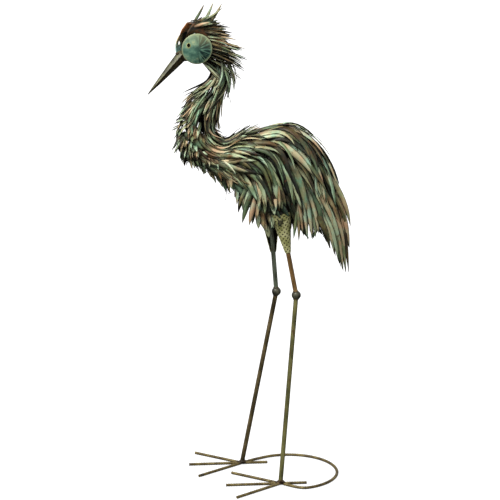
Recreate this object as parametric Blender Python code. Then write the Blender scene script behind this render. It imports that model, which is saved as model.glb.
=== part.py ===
# Garden heron of painted sheet steel: leaf-shaped strips welded into one plumage,
# two domed cheeks with punched eyes, a folded beak, rod legs with ball knees and
# half-cone thigh sheets, rod toes, and a hoop that braces the two feet.
# The ground is z = 0, the bird looks along -X and its left side is -Y.

import math
import random

import bmesh
import bpy
from mathutils import Matrix, Vector

# Driving dimensions, in metres
HEIGHT = 0.938              # ground to the crest tips
LEG_DIAMETER = 0.009
TOE_DIAMETER = 0.006        # across the flats, toes and hoop
KNEE_DIAMETER = 0.018
FOOT_SPREAD = 0.120         # between the two feet, across the bird
STRIDE = 0.066              # the right foot stands this far ahead of the left
MIDDLE_TOE = 0.107
BACK_TOE = 0.052
SIDE_TOE = 0.112
HOOP_DIAMETER = 0.190       # on the rod's axis
SHEET = 0.0015              # wall of the cheeks and thighs
CHEEK_DIAMETER = 0.057
CHEEK_DOME = 0.007
CHEEK_SPREAD = 0.046        # between the cheeks' centres
CROWN_WIDTH = 0.036
EYE_HEIGHT = 0.008
EYE_WIDTH = 0.006
BEAK_LENGTH = 0.096
BEAK_DEPTH = 0.0245
BEAK_WIDTH = 0.022
BEAK_TANG = 0.030           # the part of the beak that runs back between the cheeks
THIGH_LENGTH = 0.082
THIGH_MOUTH = 0.041
STRIP_THICKNESS = 0.0032
ROOT_DEPTH = 0.002          # how deep a strip's root is sunk
BODY_STRIP = 0.0135         # widths of the strips
NECK_STRIP = 0.0085
CREST_STRIP = 0.0045
GAP = 0.0003                # between neighbouring pieces

# Angles
SIDE_TOE_ANGLE = math.radians(36)
HEAD_YAW = math.radians(20)         # the head looks to the bird's left
CHEEK_TOE_IN = math.radians(18)     # the cheeks close in towards the beak
BEAK_PITCH = math.radians(45)
THIGH_ARC = math.radians(215)
HOOP_TURNS = math.radians(118), math.radians(-78)      # where the circle begins and ends
HOOP_LEAVE = math.radians(35)       # between the long toe and the hoop where it leaves a foot

# Pose and proportions, in thousandths of the height
UNIT = HEIGHT / 1000
LEFT_FOOT_X = 57.5
LEFT_KNEE = (92.8, -24.5, 399.5)
RIGHT_KNEE = (56.5, 24.5, 395.5)
LEFT_HIP = (58.1, -32.0, 576.8)
RIGHT_HIP = (43.4, 29.7, 565.8)
HOOP_CENTRE = (84.0, 4.0)
HEAD_CENTRE = (-117.0, 0.0, 909.4)
EYE_PLACE = (17.0, 7.5)             # ahead of and above the cheek's centre
CROWN_CENTRE = (-6.0, 8.5)          # ahead of and above the head's centre
CROWN_RADIUS = 42.5
CROWN_FILL = 15.0                   # the crown thickens towards the nape
BEAK_ROOT = (24.0, -16.5)           # ahead of and above the head's centre
LEG_REACH = 75.0                    # the upper legs run on into the plumage

# Sections of the bird from the forehead to the tail: the outer line of the feathers
# on the back (x, z), on the front or belly (x, z), and half the width.
SECTIONS = (
    (-141, 937, -115, 876, 13),
    (-117, 958, -99, 872, 21),
    (-79, 950, -92, 871, 28),
    (-47, 920, -87, 870, 29),
    (-37, 848, -92, 846, 25),
    (-58, 793, -128, 799, 32),
    (-70, 748, -151, 736, 38),
    (-62, 732, -138, 690, 41),
    (-46, 724, -95, 661, 45),
    (-12, 738, -70, 640, 53),
    (33, 752, -48, 618, 60),
    (78, 759, -30, 596, 64),
    (119, 736, -16, 572, 64),
    (152, 696, -5, 551, 60),
    (178, 635, 5, 530, 52),
    (195, 566, 23, 513, 40),
    (203, 498, 50, 499, 27),
)
HEAD_END, NECK_END = 4.0, 8.0       # places along the sections
CORE_START, CORE_END = 1.45, 14.2
CORE_DEPTH = 13.0                   # how far the core lies below the feathers' line
BELLY_RISE = 0.60                   # share of the rear sections hung with free strips
REAR_FRINGE, THIGH_FRINGE = 508.0, 575.0    # how low the strips hang
BREAST_FRINGE, FRINGE_SLOPE = 540.0, 1.5    # towards the breast, and its slope
CREST_SAG = 0.10                    # of a crest strip's length
TRIMS, TRIM_SHARE = 9, 0.9          # how often and how far a strip is shortened to the fringe
SEED = 7

# Shares
LEAF_OUTLINE = (0.8, 1.0, 0.7)      # of a strip's width, root to tip
LEAF_TIP = 0.65                     # of a station, how far the point runs on
SCATTER_PLACE = 0.18                # how unevenly the strips sit along the bird
SCATTER_TURN = 0.5                  # and round it, of their spacing
LONG_SPREAD = 0.88, 1.12
LIFT_SPREAD = 0.3, 1.7
WIDE_SPREAD = 0.9, 1.1
TAIL_SPREAD = 0.85, 1.1
THIGH_CLEAR = 0.6                   # of the thigh's mouth, either side of the hips
CROWN_TURNS = (150, 120, 90, 60, 32)        # degrees up from straight ahead
CROWN_NARROW = 0.45                 # the crown's width at the forehead
CROWN_TOP = 0.6                     # width of its outer face
BEAK_SHARES = (0.62, 1.0, 0.64)     # its section at the tang, the root and the station
BEAK_STATION = 0.35
HOOP_HANDLE = 0.4                   # of a bend's span
CREST_STATIONS = (0.0, 0.38, 0.76)


def metres(point):
    return Vector(point) * UNIT


def section(place):
    """Catmull-Rom between the sections, straight on past both ends."""
    last = len(SECTIONS) - 1
    index = min(max(math.floor(place), 0), last - 1)
    t = place - index
    a, b, c, d = (SECTIONS[min(max(index + k, 0), last)] for k in (-1, 0, 1, 2))
    if t < 0 or t > 1:
        return [q + (r - q) * t for q, r in zip(b, c)]
    return [q + 0.5 * t * (r - p + t * (2 * p - 5 * q + 4 * r - s + t * (3 * (q - r) + s - p)))
            for p, q, r, s in zip(a, b, c, d)]


def turn_head(point, place):
    """The head is turned about the top of the neck, fading out down the neck."""
    share = min(max((HEAD_END + 1.0 - place) / 2.0, 0.0), 1.0)
    pivot = metres((-60, 0, 0))
    return pivot + Matrix.Rotation(HEAD_YAW * share, 3, "Z") @ (point - pivot)


def ring_point(back, front, half_width, angle):
    middle = (back + front) / 2
    return middle + (back - front) / 2 * math.cos(angle) + Vector((0, half_width * math.sin(angle), 0))


def skin(place, angle):
    """A point on the feathers' outer line: angle 0 on the back, half a turn on the front."""
    back_x, back_z, front_x, front_z, half_width = section(place)
    back, front = metres((back_x, 0, back_z)), metres((front_x, 0, front_z))
    return turn_head(ring_point(back, front, half_width * UNIT, angle), place)


def core_skin(place, angle):
    """A point on the core: inside the feathers' line, and high over the open belly."""
    back_x, back_z, front_x, front_z, half_width = section(place)
    back, front = metres((back_x, 0, back_z)), metres((front_x, 0, front_z))
    hung = BELLY_RISE * min(max((place - NECK_END + 0.5) / 5.0, 0.0), 1.0)
    front = front.lerp(back, hung)
    inset = (back - front).normalized() * CORE_DEPTH * UNIT
    half = (half_width - CORE_DEPTH) * UNIT
    return turn_head(ring_point(back - inset, front + inset, half, angle), place)


def skin_frame(place, angle):
    """The point, the way the feathers run and the outward normal."""
    step = 0.02
    point = skin(place, angle)
    along = (skin(place + step, angle) - skin(place - step, angle)).normalized()
    around = skin(place, angle + step) - skin(place, angle - step)
    normal = around.cross(along).normalized()
    centre = (skin(place, angle) + skin(place, angle + math.pi)) / 2
    if normal.dot(point - centre) < 0:
        normal = -normal
    return point, along, normal


def material(name, colour, roughness, metallic):
    made = bpy.data.materials.new(name)
    made.use_nodes = True
    shader = made.node_tree.nodes["Principled BSDF"]
    shader.inputs["Base Color"].default_value = (*colour, 1)
    shader.inputs["Roughness"].default_value = roughness
    shader.inputs["Metallic"].default_value = metallic
    made.diffuse_color = (*colour, 1)
    return made


def add_object(name, mesh_data, surface, smooth=None):
    mesh = bpy.data.meshes.new(name)
    bmesh.ops.recalc_face_normals(mesh_data, faces=mesh_data.faces)
    mesh_data.to_mesh(mesh)
    mesh_data.free()
    mesh.materials.append(surface)
    if smooth is not None:
        mesh.shade_smooth()
        mesh.set_sharp_from_angle(angle=smooth)
    made = bpy.data.objects.new(name, mesh)
    bpy.context.scene.collection.objects.link(made)
    return made


def close_loft(mesh_data, rings, start_point=None, end_point=None):
    """Quads between rings of vertices, with flat or pointed ends."""
    for first, second in zip(rings, rings[1:]):
        count = len(first)
        for k in range(count):
            corners = (first[k], first[(k + 1) % count], second[(k + 1) % count], second[k])
            mesh_data.faces.new(corners)
    for ring, tip in ((rings[0], start_point), (rings[-1], end_point)):
        if tip is None:
            mesh_data.faces.new(ring)
        else:
            apex = mesh_data.verts.new(tip)
            for k in range(len(ring)):
                mesh_data.faces.new((ring[k], ring[(k + 1) % len(ring)], apex))


def loft(rings, start_point=None, end_point=None):
    mesh_data = bmesh.new()
    close_loft(mesh_data, [[mesh_data.verts.new(p) for p in ring] for ring in rings],
               start_point, end_point)
    return mesh_data


def boolean(target, operand, operation, solver="EXACT"):
    """Apply one Boolean with an object or a collection, and drop the operands."""
    modifier = target.modifiers.new(operation.title(), "BOOLEAN")
    modifier.operation = operation
    modifier.solver = solver
    if isinstance(operand, bpy.types.Collection):
        modifier.operand_type = "COLLECTION"
        modifier.collection = operand
        operands = list(operand.objects)
    else:
        modifier.object = operand
        operands = [operand]
    graph = bpy.context.evaluated_depsgraph_get()
    result = bpy.data.meshes.new_from_object(target.evaluated_get(graph))
    target.modifiers.clear()
    target.data = result
    for used in operands:
        bpy.data.objects.remove(used)


# Rods


def axes_of(direction):
    side = direction.cross(Vector((0, 1, 0)))
    if side.length < 0.1:
        side = direction.cross(Vector((1, 0, 0)))
    side.normalize()
    return side, direction.cross(side).normalized()


def round_rod(name, start, end, diameter, surface, seat_radius, seats, floor=None):
    """A leg rod. A seated end is hollowed to fit a ball, a floor cuts the start level."""
    direction = (end - start).normalized()
    side, up = axes_of(direction)
    sides, radius = 10, diameter / 2
    rings = []
    for point, sign, seated in ((start, 1, seats[0]), (end, -1, seats[1])):
        levels = []
        for share in (0.5, 1.0):
            depth = math.sqrt(seat_radius ** 2 - (share * radius) ** 2) if seated else 0.0
            centre = point + direction * sign * depth
            levels.append([centre + radius * share * (side * math.cos(turn) + up * math.sin(turn))
                           for turn in (2 * math.pi * k / sides for k in range(sides))])
        rings.append(levels)
    first, last = rings
    tips = [point + direction * sign * (seat_radius if seated else 0.0)
            for point, sign, seated in ((start, 1, seats[0]), (end, -1, seats[1]))]
    if floor is not None:
        level, up = Vector((0, 0, floor)), Vector((0, 0, 1))
        first = [slide(ring, direction, level, up) for ring in first]
        tips[0] = slide([tips[0]], direction, level, up)[0]
    mesh_data = loft([first[0], first[1], last[1], last[0]], tips[0], tips[1])
    return add_object(name, mesh_data, surface, math.radians(40))


def slide(points, direction, plane_point, plane_normal):
    """Move an end's points along the rod until they lie in a plane."""
    slope = direction.dot(plane_normal)
    return [p + direction * (plane_point - p).dot(plane_normal) / slope for p in points]


def flat_rod(name, path, surface, start_wall=None, end_wall=None):
    """An eight-sided rod that lies on a flat; a wall at some y cuts an end along X."""
    sides = 8
    radius = TOE_DIAMETER / 2 / math.cos(math.pi / sides)
    rings = []
    for k, point in enumerate(path):
        ahead = path[min(k + 1, len(path) - 1)] - path[max(k - 1, 0)]
        side = Vector((-ahead.y, ahead.x, 0)).normalized()
        turns = (2 * math.pi * (j + 0.5) / sides for j in range(sides))
        ring = [point + radius * (side * math.cos(t) + Vector((0, 0, math.sin(t)))) for t in turns]
        wall = start_wall if k == 0 else end_wall if k == len(path) - 1 else None
        if wall is not None:
            ring = slide(ring, ahead.normalized(), Vector((0, wall, 0)), Vector((0, 1, 0)))
        rings.append(ring)
    return add_object(name, loft(rings), surface, math.radians(50))


# Plumage


def leaf_tip(path):
    return path[-1] + (path[-1] - path[-2]) * LEAF_TIP


def leaf(path, normals, width, outline):
    """A pointed strip with a low ridge: three-sided rings and a tip."""
    rings = []
    for k, (point, normal, share) in enumerate(zip(path, normals, outline)):
        ahead = (path[min(k + 1, len(path) - 1)] - path[max(k - 1, 0)]).normalized()
        side = ahead.cross(normal).normalized()
        outward = side.cross(ahead).normalized()
        half = width / 2 * share
        rings.append([point - side * half - outward * STRIP_THICKNESS / 2,
                      point + side * half - outward * STRIP_THICKNESS / 2,
                      point + outward * STRIP_THICKNESS / 2])
    return loft(rings, None, leaf_tip(path))


def fringe(x):
    """How low the strips hang: higher towards the breast and where the thighs are."""
    hips = (LEFT_HIP[0] + RIGHT_HIP[0]) / 2 * UNIT
    if abs(x - hips) < THIGH_MOUTH * THIGH_CLEAR:
        return THIGH_FRINGE * UNIT
    return max(REAR_FRINGE * UNIT, BREAST_FRINGE * UNIT - x * FRINGE_SLOPE)


def feather_path(place, angle, length, lift, fan):
    """Points and normals of a strip that runs from the core out along the skin."""
    count = len(LEAF_OUTLINE)
    path, normals = [], []
    spot, turn = place, angle
    stride = length / (count - 1 + LEAF_TIP)
    for k in range(count):
        point, _, normal = skin_frame(spot, turn)
        share = k / (count - 1)
        root = core_skin(min(max(spot, CORE_START + 0.1), CORE_END - 0.1), turn) - normal * ROOT_DEPTH
        path.append(root.lerp(point + normal * lift * share ** 2, 1 - (1 - share) ** 2))
        normals.append(normal)
        speed = (skin(spot + 0.05, turn) - skin(spot - 0.05, turn)).length / 0.1
        spot += stride / max(speed, 0.010)
        turn += fan * math.sin(turn) / count
    return path, normals


def feather_rows():
    """Rows of strips: place, number round the ring, length, width, lift, fan, angles covered."""
    full = math.pi
    yield 1.75, 9, 0.050, NECK_STRIP, 0.008, 0.0, 0.66 * full
    yield 2.35, 10, 0.054, NECK_STRIP, 0.010, 0.0, 0.72 * full
    yield 3.05, 10, 0.054, NECK_STRIP, 0.009, 0.0, 0.80 * full
    yield 3.60, 9, 0.050, NECK_STRIP, 0.004, 0.0, full
    yield 4.20, 10, 0.050, NECK_STRIP, 0.002, 0.0, full
    yield 4.80, 9, 0.052, NECK_STRIP, 0.003, 0.0, full
    yield 5.45, 10, 0.054, NECK_STRIP * 1.1, 0.003, 0.0, full
    yield 6.20, 11, 0.058, NECK_STRIP * 1.2, 0.005, 0.1, full
    yield 7.10, 12, 0.062, NECK_STRIP * 1.2, 0.006, 0.2, full
    yield 8.00, 12, 0.072, NECK_STRIP * 1.3, 0.003, 0.3, full
    yield 8.80, 12, 0.090, BODY_STRIP * 0.9, 0.001, 0.5, full
    yield 9.60, 13, 0.105, BODY_STRIP, 0.001, 0.5, 0.92 * full
    yield 10.50, 13, 0.120, BODY_STRIP, 0.002, 0.4, 0.84 * full
    yield 11.50, 12, 0.130, BODY_STRIP, 0.002, 0.2, 0.80 * full
    yield 12.60, 11, 0.120, BODY_STRIP, 0.002, 0.1, 0.76 * full
    yield 13.40, 8, 0.120, BODY_STRIP, 0.002, 0.0, 0.60 * full


def tail_rows():
    """The tail hangs below the fringe: place, number, length, fan and angles covered."""
    yield 12.90, 5, 0.175, -0.9, 0.42 * math.pi
    yield 13.40, 4, 0.165, 0.0, 0.16 * math.pi
    yield 13.70, 5, 0.190, 0.0, 0.26 * math.pi
    yield 14.00, 4, 0.165, -0.3, 0.40 * math.pi


def crest_strips():
    """The crest: place on the crown in degrees and across it, and the tip's x, y, z."""
    yield 88, -0.20, (-93, -8, 998)
    yield 96, 0.25, (-75, 4, 1001)
    yield 104, 0.00, (-58, -6, 997)
    yield 116, -0.35, (-62, -12, 968)
    yield 124, 0.40, (-56, 10, 958)
    yield 138, -0.10, (-47, -4, 946)


def core_mesh():
    """The closed body under the strips, which stands for the hollow welded basket."""
    steps, sides = 17, 10
    rings = [[core_skin(CORE_START + (CORE_END - CORE_START) * k / steps, 2 * math.pi * j / sides)
              for j in range(sides)] for k in range(steps + 1)]
    return loft(rings)


def head_axes():
    """Forward and left of the turned head."""
    forward = Vector((-math.cos(HEAD_YAW), -math.sin(HEAD_YAW), 0))
    return forward, Vector((0, 0, 1)).cross(forward)


def crown_point(degrees, across, depth=0.0):
    """A point on the crown plate: angle up from straight ahead, share of half the width."""
    forward, left = head_axes()
    up = Vector((0, 0, 1))
    turn = math.radians(degrees)
    centre = metres(HEAD_CENTRE) + forward * CROWN_CENTRE[0] * UNIT + up * CROWN_CENTRE[1] * UNIT
    outward = forward * math.cos(turn) + up * math.sin(turn)
    half = CROWN_WIDTH / 2 * (CROWN_NARROW + (1 - CROWN_NARROW) * math.sin(turn))
    return centre + outward * (CROWN_RADIUS * UNIT - depth) + left * half * across


def crown_mesh():
    """The plate over the forehead and crown, rooted in the core behind it."""
    rings = []
    for degrees in CROWN_TURNS:
        fill = CROWN_FILL * UNIT * max(0.0, math.sin(math.radians(degrees - CROWN_TURNS[-1])))
        depth = STRIP_THICKNESS + fill
        rings.append([crown_point(degrees, -1, depth), crown_point(degrees, 1, depth),
                      crown_point(degrees, CROWN_TOP), crown_point(degrees, -CROWN_TOP)])
    return loft(rings)


def strip_meshes(rng):
    """The crown plate, the rows of strips, the tail and the crest, each a closed mesh."""
    yield crown_mesh()
    for row, (place, count, length, width, lift, fan, reach) in enumerate(feather_rows()):
        for k in range(count):
            share = (k + 0.5 * (row % 2)) / count if reach == math.pi else (k + 0.5) / count
            angle = -reach + 2 * reach * share + rng.uniform(-SCATTER_TURN, SCATTER_TURN) * reach / count
            spot = place + rng.uniform(-SCATTER_PLACE, SCATTER_PLACE)
            long, rise = length * rng.uniform(*LONG_SPREAD), lift * rng.uniform(*LIFT_SPREAD)
            path, normals = feather_path(spot, angle, long, rise, fan)
            for _ in range(TRIMS):
                if leaf_tip(path).z < fringe(leaf_tip(path).x):
                    long *= TRIM_SHARE
                    path, normals = feather_path(spot, angle, long, rise, fan)
            yield leaf(path, normals, width * rng.uniform(*WIDE_SPREAD), LEAF_OUTLINE)
    for place, count, length, fan, reach in tail_rows():
        for k in range(count):
            angle = reach * (2 * (k + 0.5) / count - 1)
            path, normals = feather_path(place, angle, length * rng.uniform(*TAIL_SPREAD), 0.0, fan)
            yield leaf(path, normals, BODY_STRIP, LEAF_OUTLINE)
    for degrees, across, tip in crest_strips():
        start = crown_point(degrees, across, STRIP_THICKNESS)
        end = turn_head(metres(tip), 0)
        sag = Vector((0, 0, (end - start).length * CREST_SAG))
        path = [start.lerp(end, t) - sag * 4 * t * (1 - t) for t in CREST_STATIONS]
        normals = [Vector((-1, 0, 0.6)).normalized()] * len(path)
        yield leaf(path, normals, CREST_STRIP, (1, 1, 0.7))


def strip_collection(surface):
    """Every strip as its own object in one collection."""
    strips = bpy.data.collections.new("strips")
    bpy.context.scene.collection.children.link(strips)
    for k, mesh_data in enumerate(strip_meshes(random.Random(SEED))):
        strip = add_object(f"strip_{k}", mesh_data, surface)
        bpy.context.scene.collection.objects.unlink(strip)
        strips.objects.link(strip)
    return strips


def best_ear(face):
    """The roundest corner that can be cut off without doubling an edge that exists."""
    corners = [loop.vert for loop in face.loops]
    count, best, chosen = len(corners), -1.0, None
    for k in range(count):
        before, tip, after = corners[k - 1], corners[k], corners[(k + 1) % count]
        first, second, third = tip.co - before.co, after.co - tip.co, before.co - after.co
        twice_area = first.cross(second).dot(face.normal)
        longest = max(first.length_squared, second.length_squared, third.length_squared)
        if twice_area <= 0.0 or any(edge.other_vert(before) is after for edge in before.link_edges):
            continue
        sides = ((before.co, first), (tip.co, second), (after.co, third))
        others = [v for v in corners if v not in (before, tip, after)]
        if any(all(run.cross(v.co - start).dot(face.normal) >= 0 for start, run in sides) for v in others):
            continue
        if twice_area / longest > best:
            best, chosen = twice_area / longest, (before, after)
    return chosen


def triangulate(mesh_data):
    """Clip the ears of every larger face; what cannot be clipped is left to Blender."""
    waiting = [face for face in mesh_data.faces if len(face.verts) > 3]
    while waiting:
        face = waiting.pop()
        ear = best_ear(face)
        if ear is None:
            continue
        other, _ = bmesh.utils.face_split(face, *ear)
        waiting.extend(part for part in (face, other) if len(part.verts) > 3)
    bmesh.ops.triangulate(mesh_data, faces=mesh_data.faces)


def keep_largest(piece):
    """Drop the small closed pockets that crossing strips leave inside."""
    mesh_data = bmesh.new()
    mesh_data.from_mesh(piece.data)
    triangulate(mesh_data)
    islands, seen = [], set()
    for seed in mesh_data.verts:
        if seed in seen:
            continue
        island, front = [], [seed]
        seen.add(seed)
        while front:
            vertex = front.pop()
            island.append(vertex)
            for edge in vertex.link_edges:
                other = edge.other_vert(vertex)
                if other not in seen:
                    seen.add(other)
                    front.append(other)
        islands.append(island)
    islands.sort(key=len)
    bmesh.ops.delete(mesh_data, geom=[v for island in islands[:-1] for v in island], context="VERTS")
    mesh_data.to_mesh(piece.data)
    mesh_data.free()


def plumage(surface, cutters):
    body = add_object("plumage", core_mesh(), surface)
    boolean(body, strip_collection(surface), "UNION")
    for cutter in cutters:
        boolean(body, cutter, "DIFFERENCE", "MANIFOLD")
    keep_largest(body)
    return body


# Head


def cheek_frame(side):
    """Centre, outward axis and forward axis of a cheek; side is 1 on the left."""
    forward, left = head_axes()
    centre = metres(HEAD_CENTRE) + left * side * CHEEK_SPREAD / 2
    turn = Matrix.Rotation(-side * CHEEK_TOE_IN, 3, "Z")
    return centre, turn @ (left * side), turn @ forward


def dome_profile(radius, dome, depth):
    """Half section of the domed sheet, from the middle out to the rim and back."""
    steps = 3
    outer = [(radius * k / steps, dome * (1 - (k / steps) ** 2) + depth) for k in range(steps + 1)]
    inner = [(radius * k / steps, dome * (1 - (k / steps) ** 2)) for k in range(steps, -1, -1)]
    return outer + inner


def turned(profile, centre, axis, forward, sides):
    """Turn a profile of (radius, height) about an axis; ends on the axis close it."""
    up = axis.cross(forward)
    mesh_data = bmesh.new()
    rings = []
    for radius, height in profile[1:-1]:
        rings.append([mesh_data.verts.new(centre + axis * height
                                          + radius * (forward * math.cos(t) + up * math.sin(t)))
                      for t in (2 * math.pi * k / sides for k in range(sides))])
    close_loft(mesh_data, rings, centre + axis * profile[0][1], centre + axis * profile[-1][1])
    return mesh_data


def cheek(name, side, surface):
    centre, outward, forward = cheek_frame(side)
    up = Vector((0, 0, 1))
    disc = add_object(name, turned(dome_profile(CHEEK_DIAMETER / 2, CHEEK_DOME, SHEET),
                                   centre, outward, forward, 20), surface, math.radians(40))
    eye_centre = centre + forward * EYE_PLACE[0] * UNIT + up * EYE_PLACE[1] * UNIT
    rings = []
    for height in (-CHEEK_DOME, CHEEK_DOME * 3):
        rings.append([eye_centre + outward * height + forward * EYE_WIDTH / 2 * math.cos(t)
                      + up * EYE_HEIGHT / 2 * math.sin(t) for t in (2 * math.pi * k / 10 for k in range(10))])
    boolean(disc, add_object("eye_cutter", loft(rings), surface), "DIFFERENCE")
    return disc


def cheek_cutter(side, surface):
    """Room for a cheek: all that lies outside its rim's plane, within its rim."""
    centre, outward, forward = cheek_frame(side)
    radius = CHEEK_DIAMETER / 2 + 2 * GAP
    reach = CHEEK_DOME * 4
    profile = [(0, reach), (radius, reach), (radius, -2 * GAP), (0, -2 * GAP)]
    return add_object("cheek_cutter", turned(profile, centre, outward, forward, 20), surface)


def beak_mesh(spread):
    """Four-sided beak on a short tang; spread widens it into its own cutter."""
    forward, left = head_axes()
    up = Vector((0, 0, 1))
    root = metres(HEAD_CENTRE) + forward * BEAK_ROOT[0] * UNIT + up * BEAK_ROOT[1] * UNIT
    run = forward * math.cos(BEAK_PITCH) - up * math.sin(BEAK_PITCH)
    rise = forward * math.sin(BEAK_PITCH) + up * math.cos(BEAK_PITCH)
    back_run = forward * math.cos(BEAK_PITCH / 3) - up * math.sin(BEAK_PITCH / 3)
    back_rise = forward * math.sin(BEAK_PITCH / 3) + up * math.cos(BEAK_PITCH / 3)
    rings = []
    stations = ((root - back_run * BEAK_TANG, back_rise), (root, (rise + back_rise).normalized()),
                (root + run * BEAK_LENGTH * BEAK_STATION, rise))
    for (centre, high), share in zip(stations, BEAK_SHARES):
        wide = left * (BEAK_WIDTH / 2 * share + spread)
        tall = high * (BEAK_DEPTH / 2 * share + spread)
        rings.append([centre + tall, centre + wide, centre - tall, centre - wide])
    if spread:
        rings[0] = [point - back_run * spread for point in rings[0]]
    return loft(rings, None, root + run * (BEAK_LENGTH + spread))


# Legs and feet


def foot_hub(side):
    """Where a leg stands on its toes; side is 1 on the left."""
    x = LEFT_FOOT_X * UNIT - (STRIDE if side < 0 else 0.0)
    return Vector((x, -side * FOOT_SPREAD / 2, TOE_DIAMETER / 2))


def knee_point(side):
    return metres(LEFT_KNEE if side > 0 else RIGHT_KNEE)


def hip_point(side):
    return metres(LEFT_HIP if side > 0 else RIGHT_HIP)


def leg_top(side):
    run = (hip_point(side) - knee_point(side)).normalized()
    return hip_point(side) + run * LEG_REACH * UNIT


def knee(name, side, surface):
    mesh_data = bmesh.new()
    bmesh.ops.create_uvsphere(mesh_data, u_segments=12, v_segments=6, radius=KNEE_DIAMETER / 2)
    ball = add_object(name, mesh_data, surface, math.radians(60))
    ball.location = knee_point(side)
    return ball


def shank(name, side, surface):
    foot = foot_hub(side)
    return round_rod(name, foot, knee_point(side), LEG_DIAMETER, surface,
                     KNEE_DIAMETER / 2 + GAP, (False, True), TOE_DIAMETER + GAP)


def upper_leg(name, side, surface):
    return round_rod(name, knee_point(side), leg_top(side), LEG_DIAMETER, surface,
                     KNEE_DIAMETER / 2 + GAP, (True, False))


def leg_cutter(side, surface):
    """Room in the plumage for the upper leg and for the thigh sheet round it."""
    run = (hip_point(side) - knee_point(side)).normalized()
    start = hip_point(side) - run * THIGH_LENGTH
    return round_rod("leg_cutter", start, leg_top(side) + run * GAP * 2, LEG_DIAMETER + 4 * GAP,
                     surface, 0.0, (False, False))


def thigh_profile(spread):
    """Inner and outer line of the cone as (radius, distance down from the mouth)."""
    low = LEG_DIAMETER / 2 + GAP
    high = THIGH_MOUTH / 2 - SHEET
    return (low - spread, high - spread), (low + SHEET + spread, high + SHEET + spread)


def thigh_mesh(side, spread, sides=14):
    """Half cone of sheet, open towards the other leg."""
    top, run = hip_point(side), (hip_point(side) - knee_point(side)).normalized()
    bottom = top - run * THIGH_LENGTH
    across = Vector((0, -side, 0))
    out = (across - run * across.dot(run)).normalized()
    ahead = run.cross(out)
    inner, outer = thigh_profile(spread)
    extra = spread / (THIGH_MOUTH / 2)
    rings = []
    for k in range(sides + 1):
        turn = (THIGH_ARC / 2 + extra) * (2 * k / sides - 1)
        radial = out * math.cos(turn) + ahead * math.sin(turn)
        rings.append([bottom - run * spread + radial * inner[0], bottom - run * spread + radial * outer[0],
                      top + run * spread + radial * outer[1], top + run * spread + radial * inner[1]])
    return loft(rings)


def long_toe(name, side, surface):
    """The middle toe and the back toe are one straight rod under the leg."""
    hub = foot_hub(side)
    return flat_rod(name, [hub + Vector((-MIDDLE_TOE, 0, 0)), hub + Vector((BACK_TOE, 0, 0))], surface)


def toe_wall(side, outward):
    """The y of a cut along the long toe, on its outer or inner side."""
    return foot_hub(side).y - side * outward * (TOE_DIAMETER / 2 + GAP)


def side_toe(name, side, outward, surface):
    """A front toe that is cut along the long toe; outward is 1 on the outer side."""
    hub = foot_hub(side)
    way = Vector((-math.cos(SIDE_TOE_ANGLE), -side * outward * math.sin(SIDE_TOE_ANGLE), 0))
    return flat_rod(name, [hub, hub + way * SIDE_TOE], surface, toe_wall(side, outward))


def hoop_end(side, joint, tangent):
    """A bend from the outer side of a foot to the hoop's circle."""
    half = TOE_DIAMETER / 2
    beside_toe = half / math.sin(SIDE_TOE_ANGLE) - (half + GAP) / math.tan(SIDE_TOE_ANGLE)
    start = foot_hub(side) + Vector((beside_toe + GAP + half / math.sin(HOOP_LEAVE), 0, 0))
    start.y = toe_wall(side, 1)
    reach = (joint - start).length * HOOP_HANDLE
    leave = start + Vector((math.cos(HOOP_LEAVE), -side * math.sin(HOOP_LEAVE), 0)) * reach
    handle = joint + tangent * reach
    steps = 4
    return [start * (1 - t) ** 3 + leave * 3 * t * (1 - t) ** 2 + handle * 3 * t * t * (1 - t) + joint * t ** 3
            for t in (k / steps for k in range(steps + 1))]


def hoop(surface):
    """From the outer side of the right foot round the back to the outer side of the left."""
    centre = Vector((HOOP_CENTRE[0] * UNIT, HOOP_CENTRE[1] * UNIT, TOE_DIAMETER / 2))
    steps = 18
    turns = [HOOP_TURNS[0] + (HOOP_TURNS[1] - HOOP_TURNS[0]) * k / steps for k in range(steps + 1)]
    arc = [centre + HOOP_DIAMETER / 2 * Vector((math.cos(t), math.sin(t), 0)) for t in turns]
    first = hoop_end(-1, arc[0], (arc[0] - arc[1]).normalized())
    last = hoop_end(1, arc[-1], (arc[-1] - arc[-2]).normalized())
    return flat_rod("base_hoop", first + arc[1:-1] + last[::-1], surface, toe_wall(-1, 1), toe_wall(1, 1))


def build():
    for old in list(bpy.data.objects):
        bpy.data.objects.remove(old)
    strip_paint = material("strip_paint", (0.17, 0.26, 0.17), 0.55, 0.35)
    cheek_paint = material("cheek_paint", (0.16, 0.32, 0.25), 0.5, 0.3)
    beak_paint = material("beak_paint", (0.15, 0.13, 0.06), 0.5, 0.3)
    leg_paint = material("leg_paint", (0.13, 0.12, 0.06), 0.5, 0.3)
    thigh_paint = material("thigh_paint", (0.28, 0.27, 0.13), 0.55, 0.3)
    toe_paint = material("toe_paint", (0.11, 0.09, 0.05), 0.6, 0.3)
    cutters = []
    for label, side in (("left", 1), ("right", -1)):
        cutters.append(cheek_cutter(side, cheek_paint))
        cutters.append(leg_cutter(side, leg_paint))
        cutters.append(add_object("thigh_cutter", thigh_mesh(side, 2 * GAP), thigh_paint))
        cheek(f"{label}_cheek", side, cheek_paint)
        upper_leg(f"{label}_upper_leg", side, leg_paint)
        add_object(f"{label}_thigh", thigh_mesh(side, 0.0), thigh_paint, math.radians(40))
        knee(f"{label}_knee", side, leg_paint)
        shank(f"{label}_shank", side, leg_paint)
        long_toe(f"{label}_long_toe", side, toe_paint)
        side_toe(f"{label}_outer_toe", side, 1, toe_paint)
        side_toe(f"{label}_inner_toe", side, -1, toe_paint)
    add_object("beak", beak_mesh(0.0), beak_paint)
    cutters.append(add_object("beak_cutter", beak_mesh(2 * GAP), beak_paint))
    hoop(toe_paint)
    plumage(strip_paint, cutters)


build()
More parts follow.
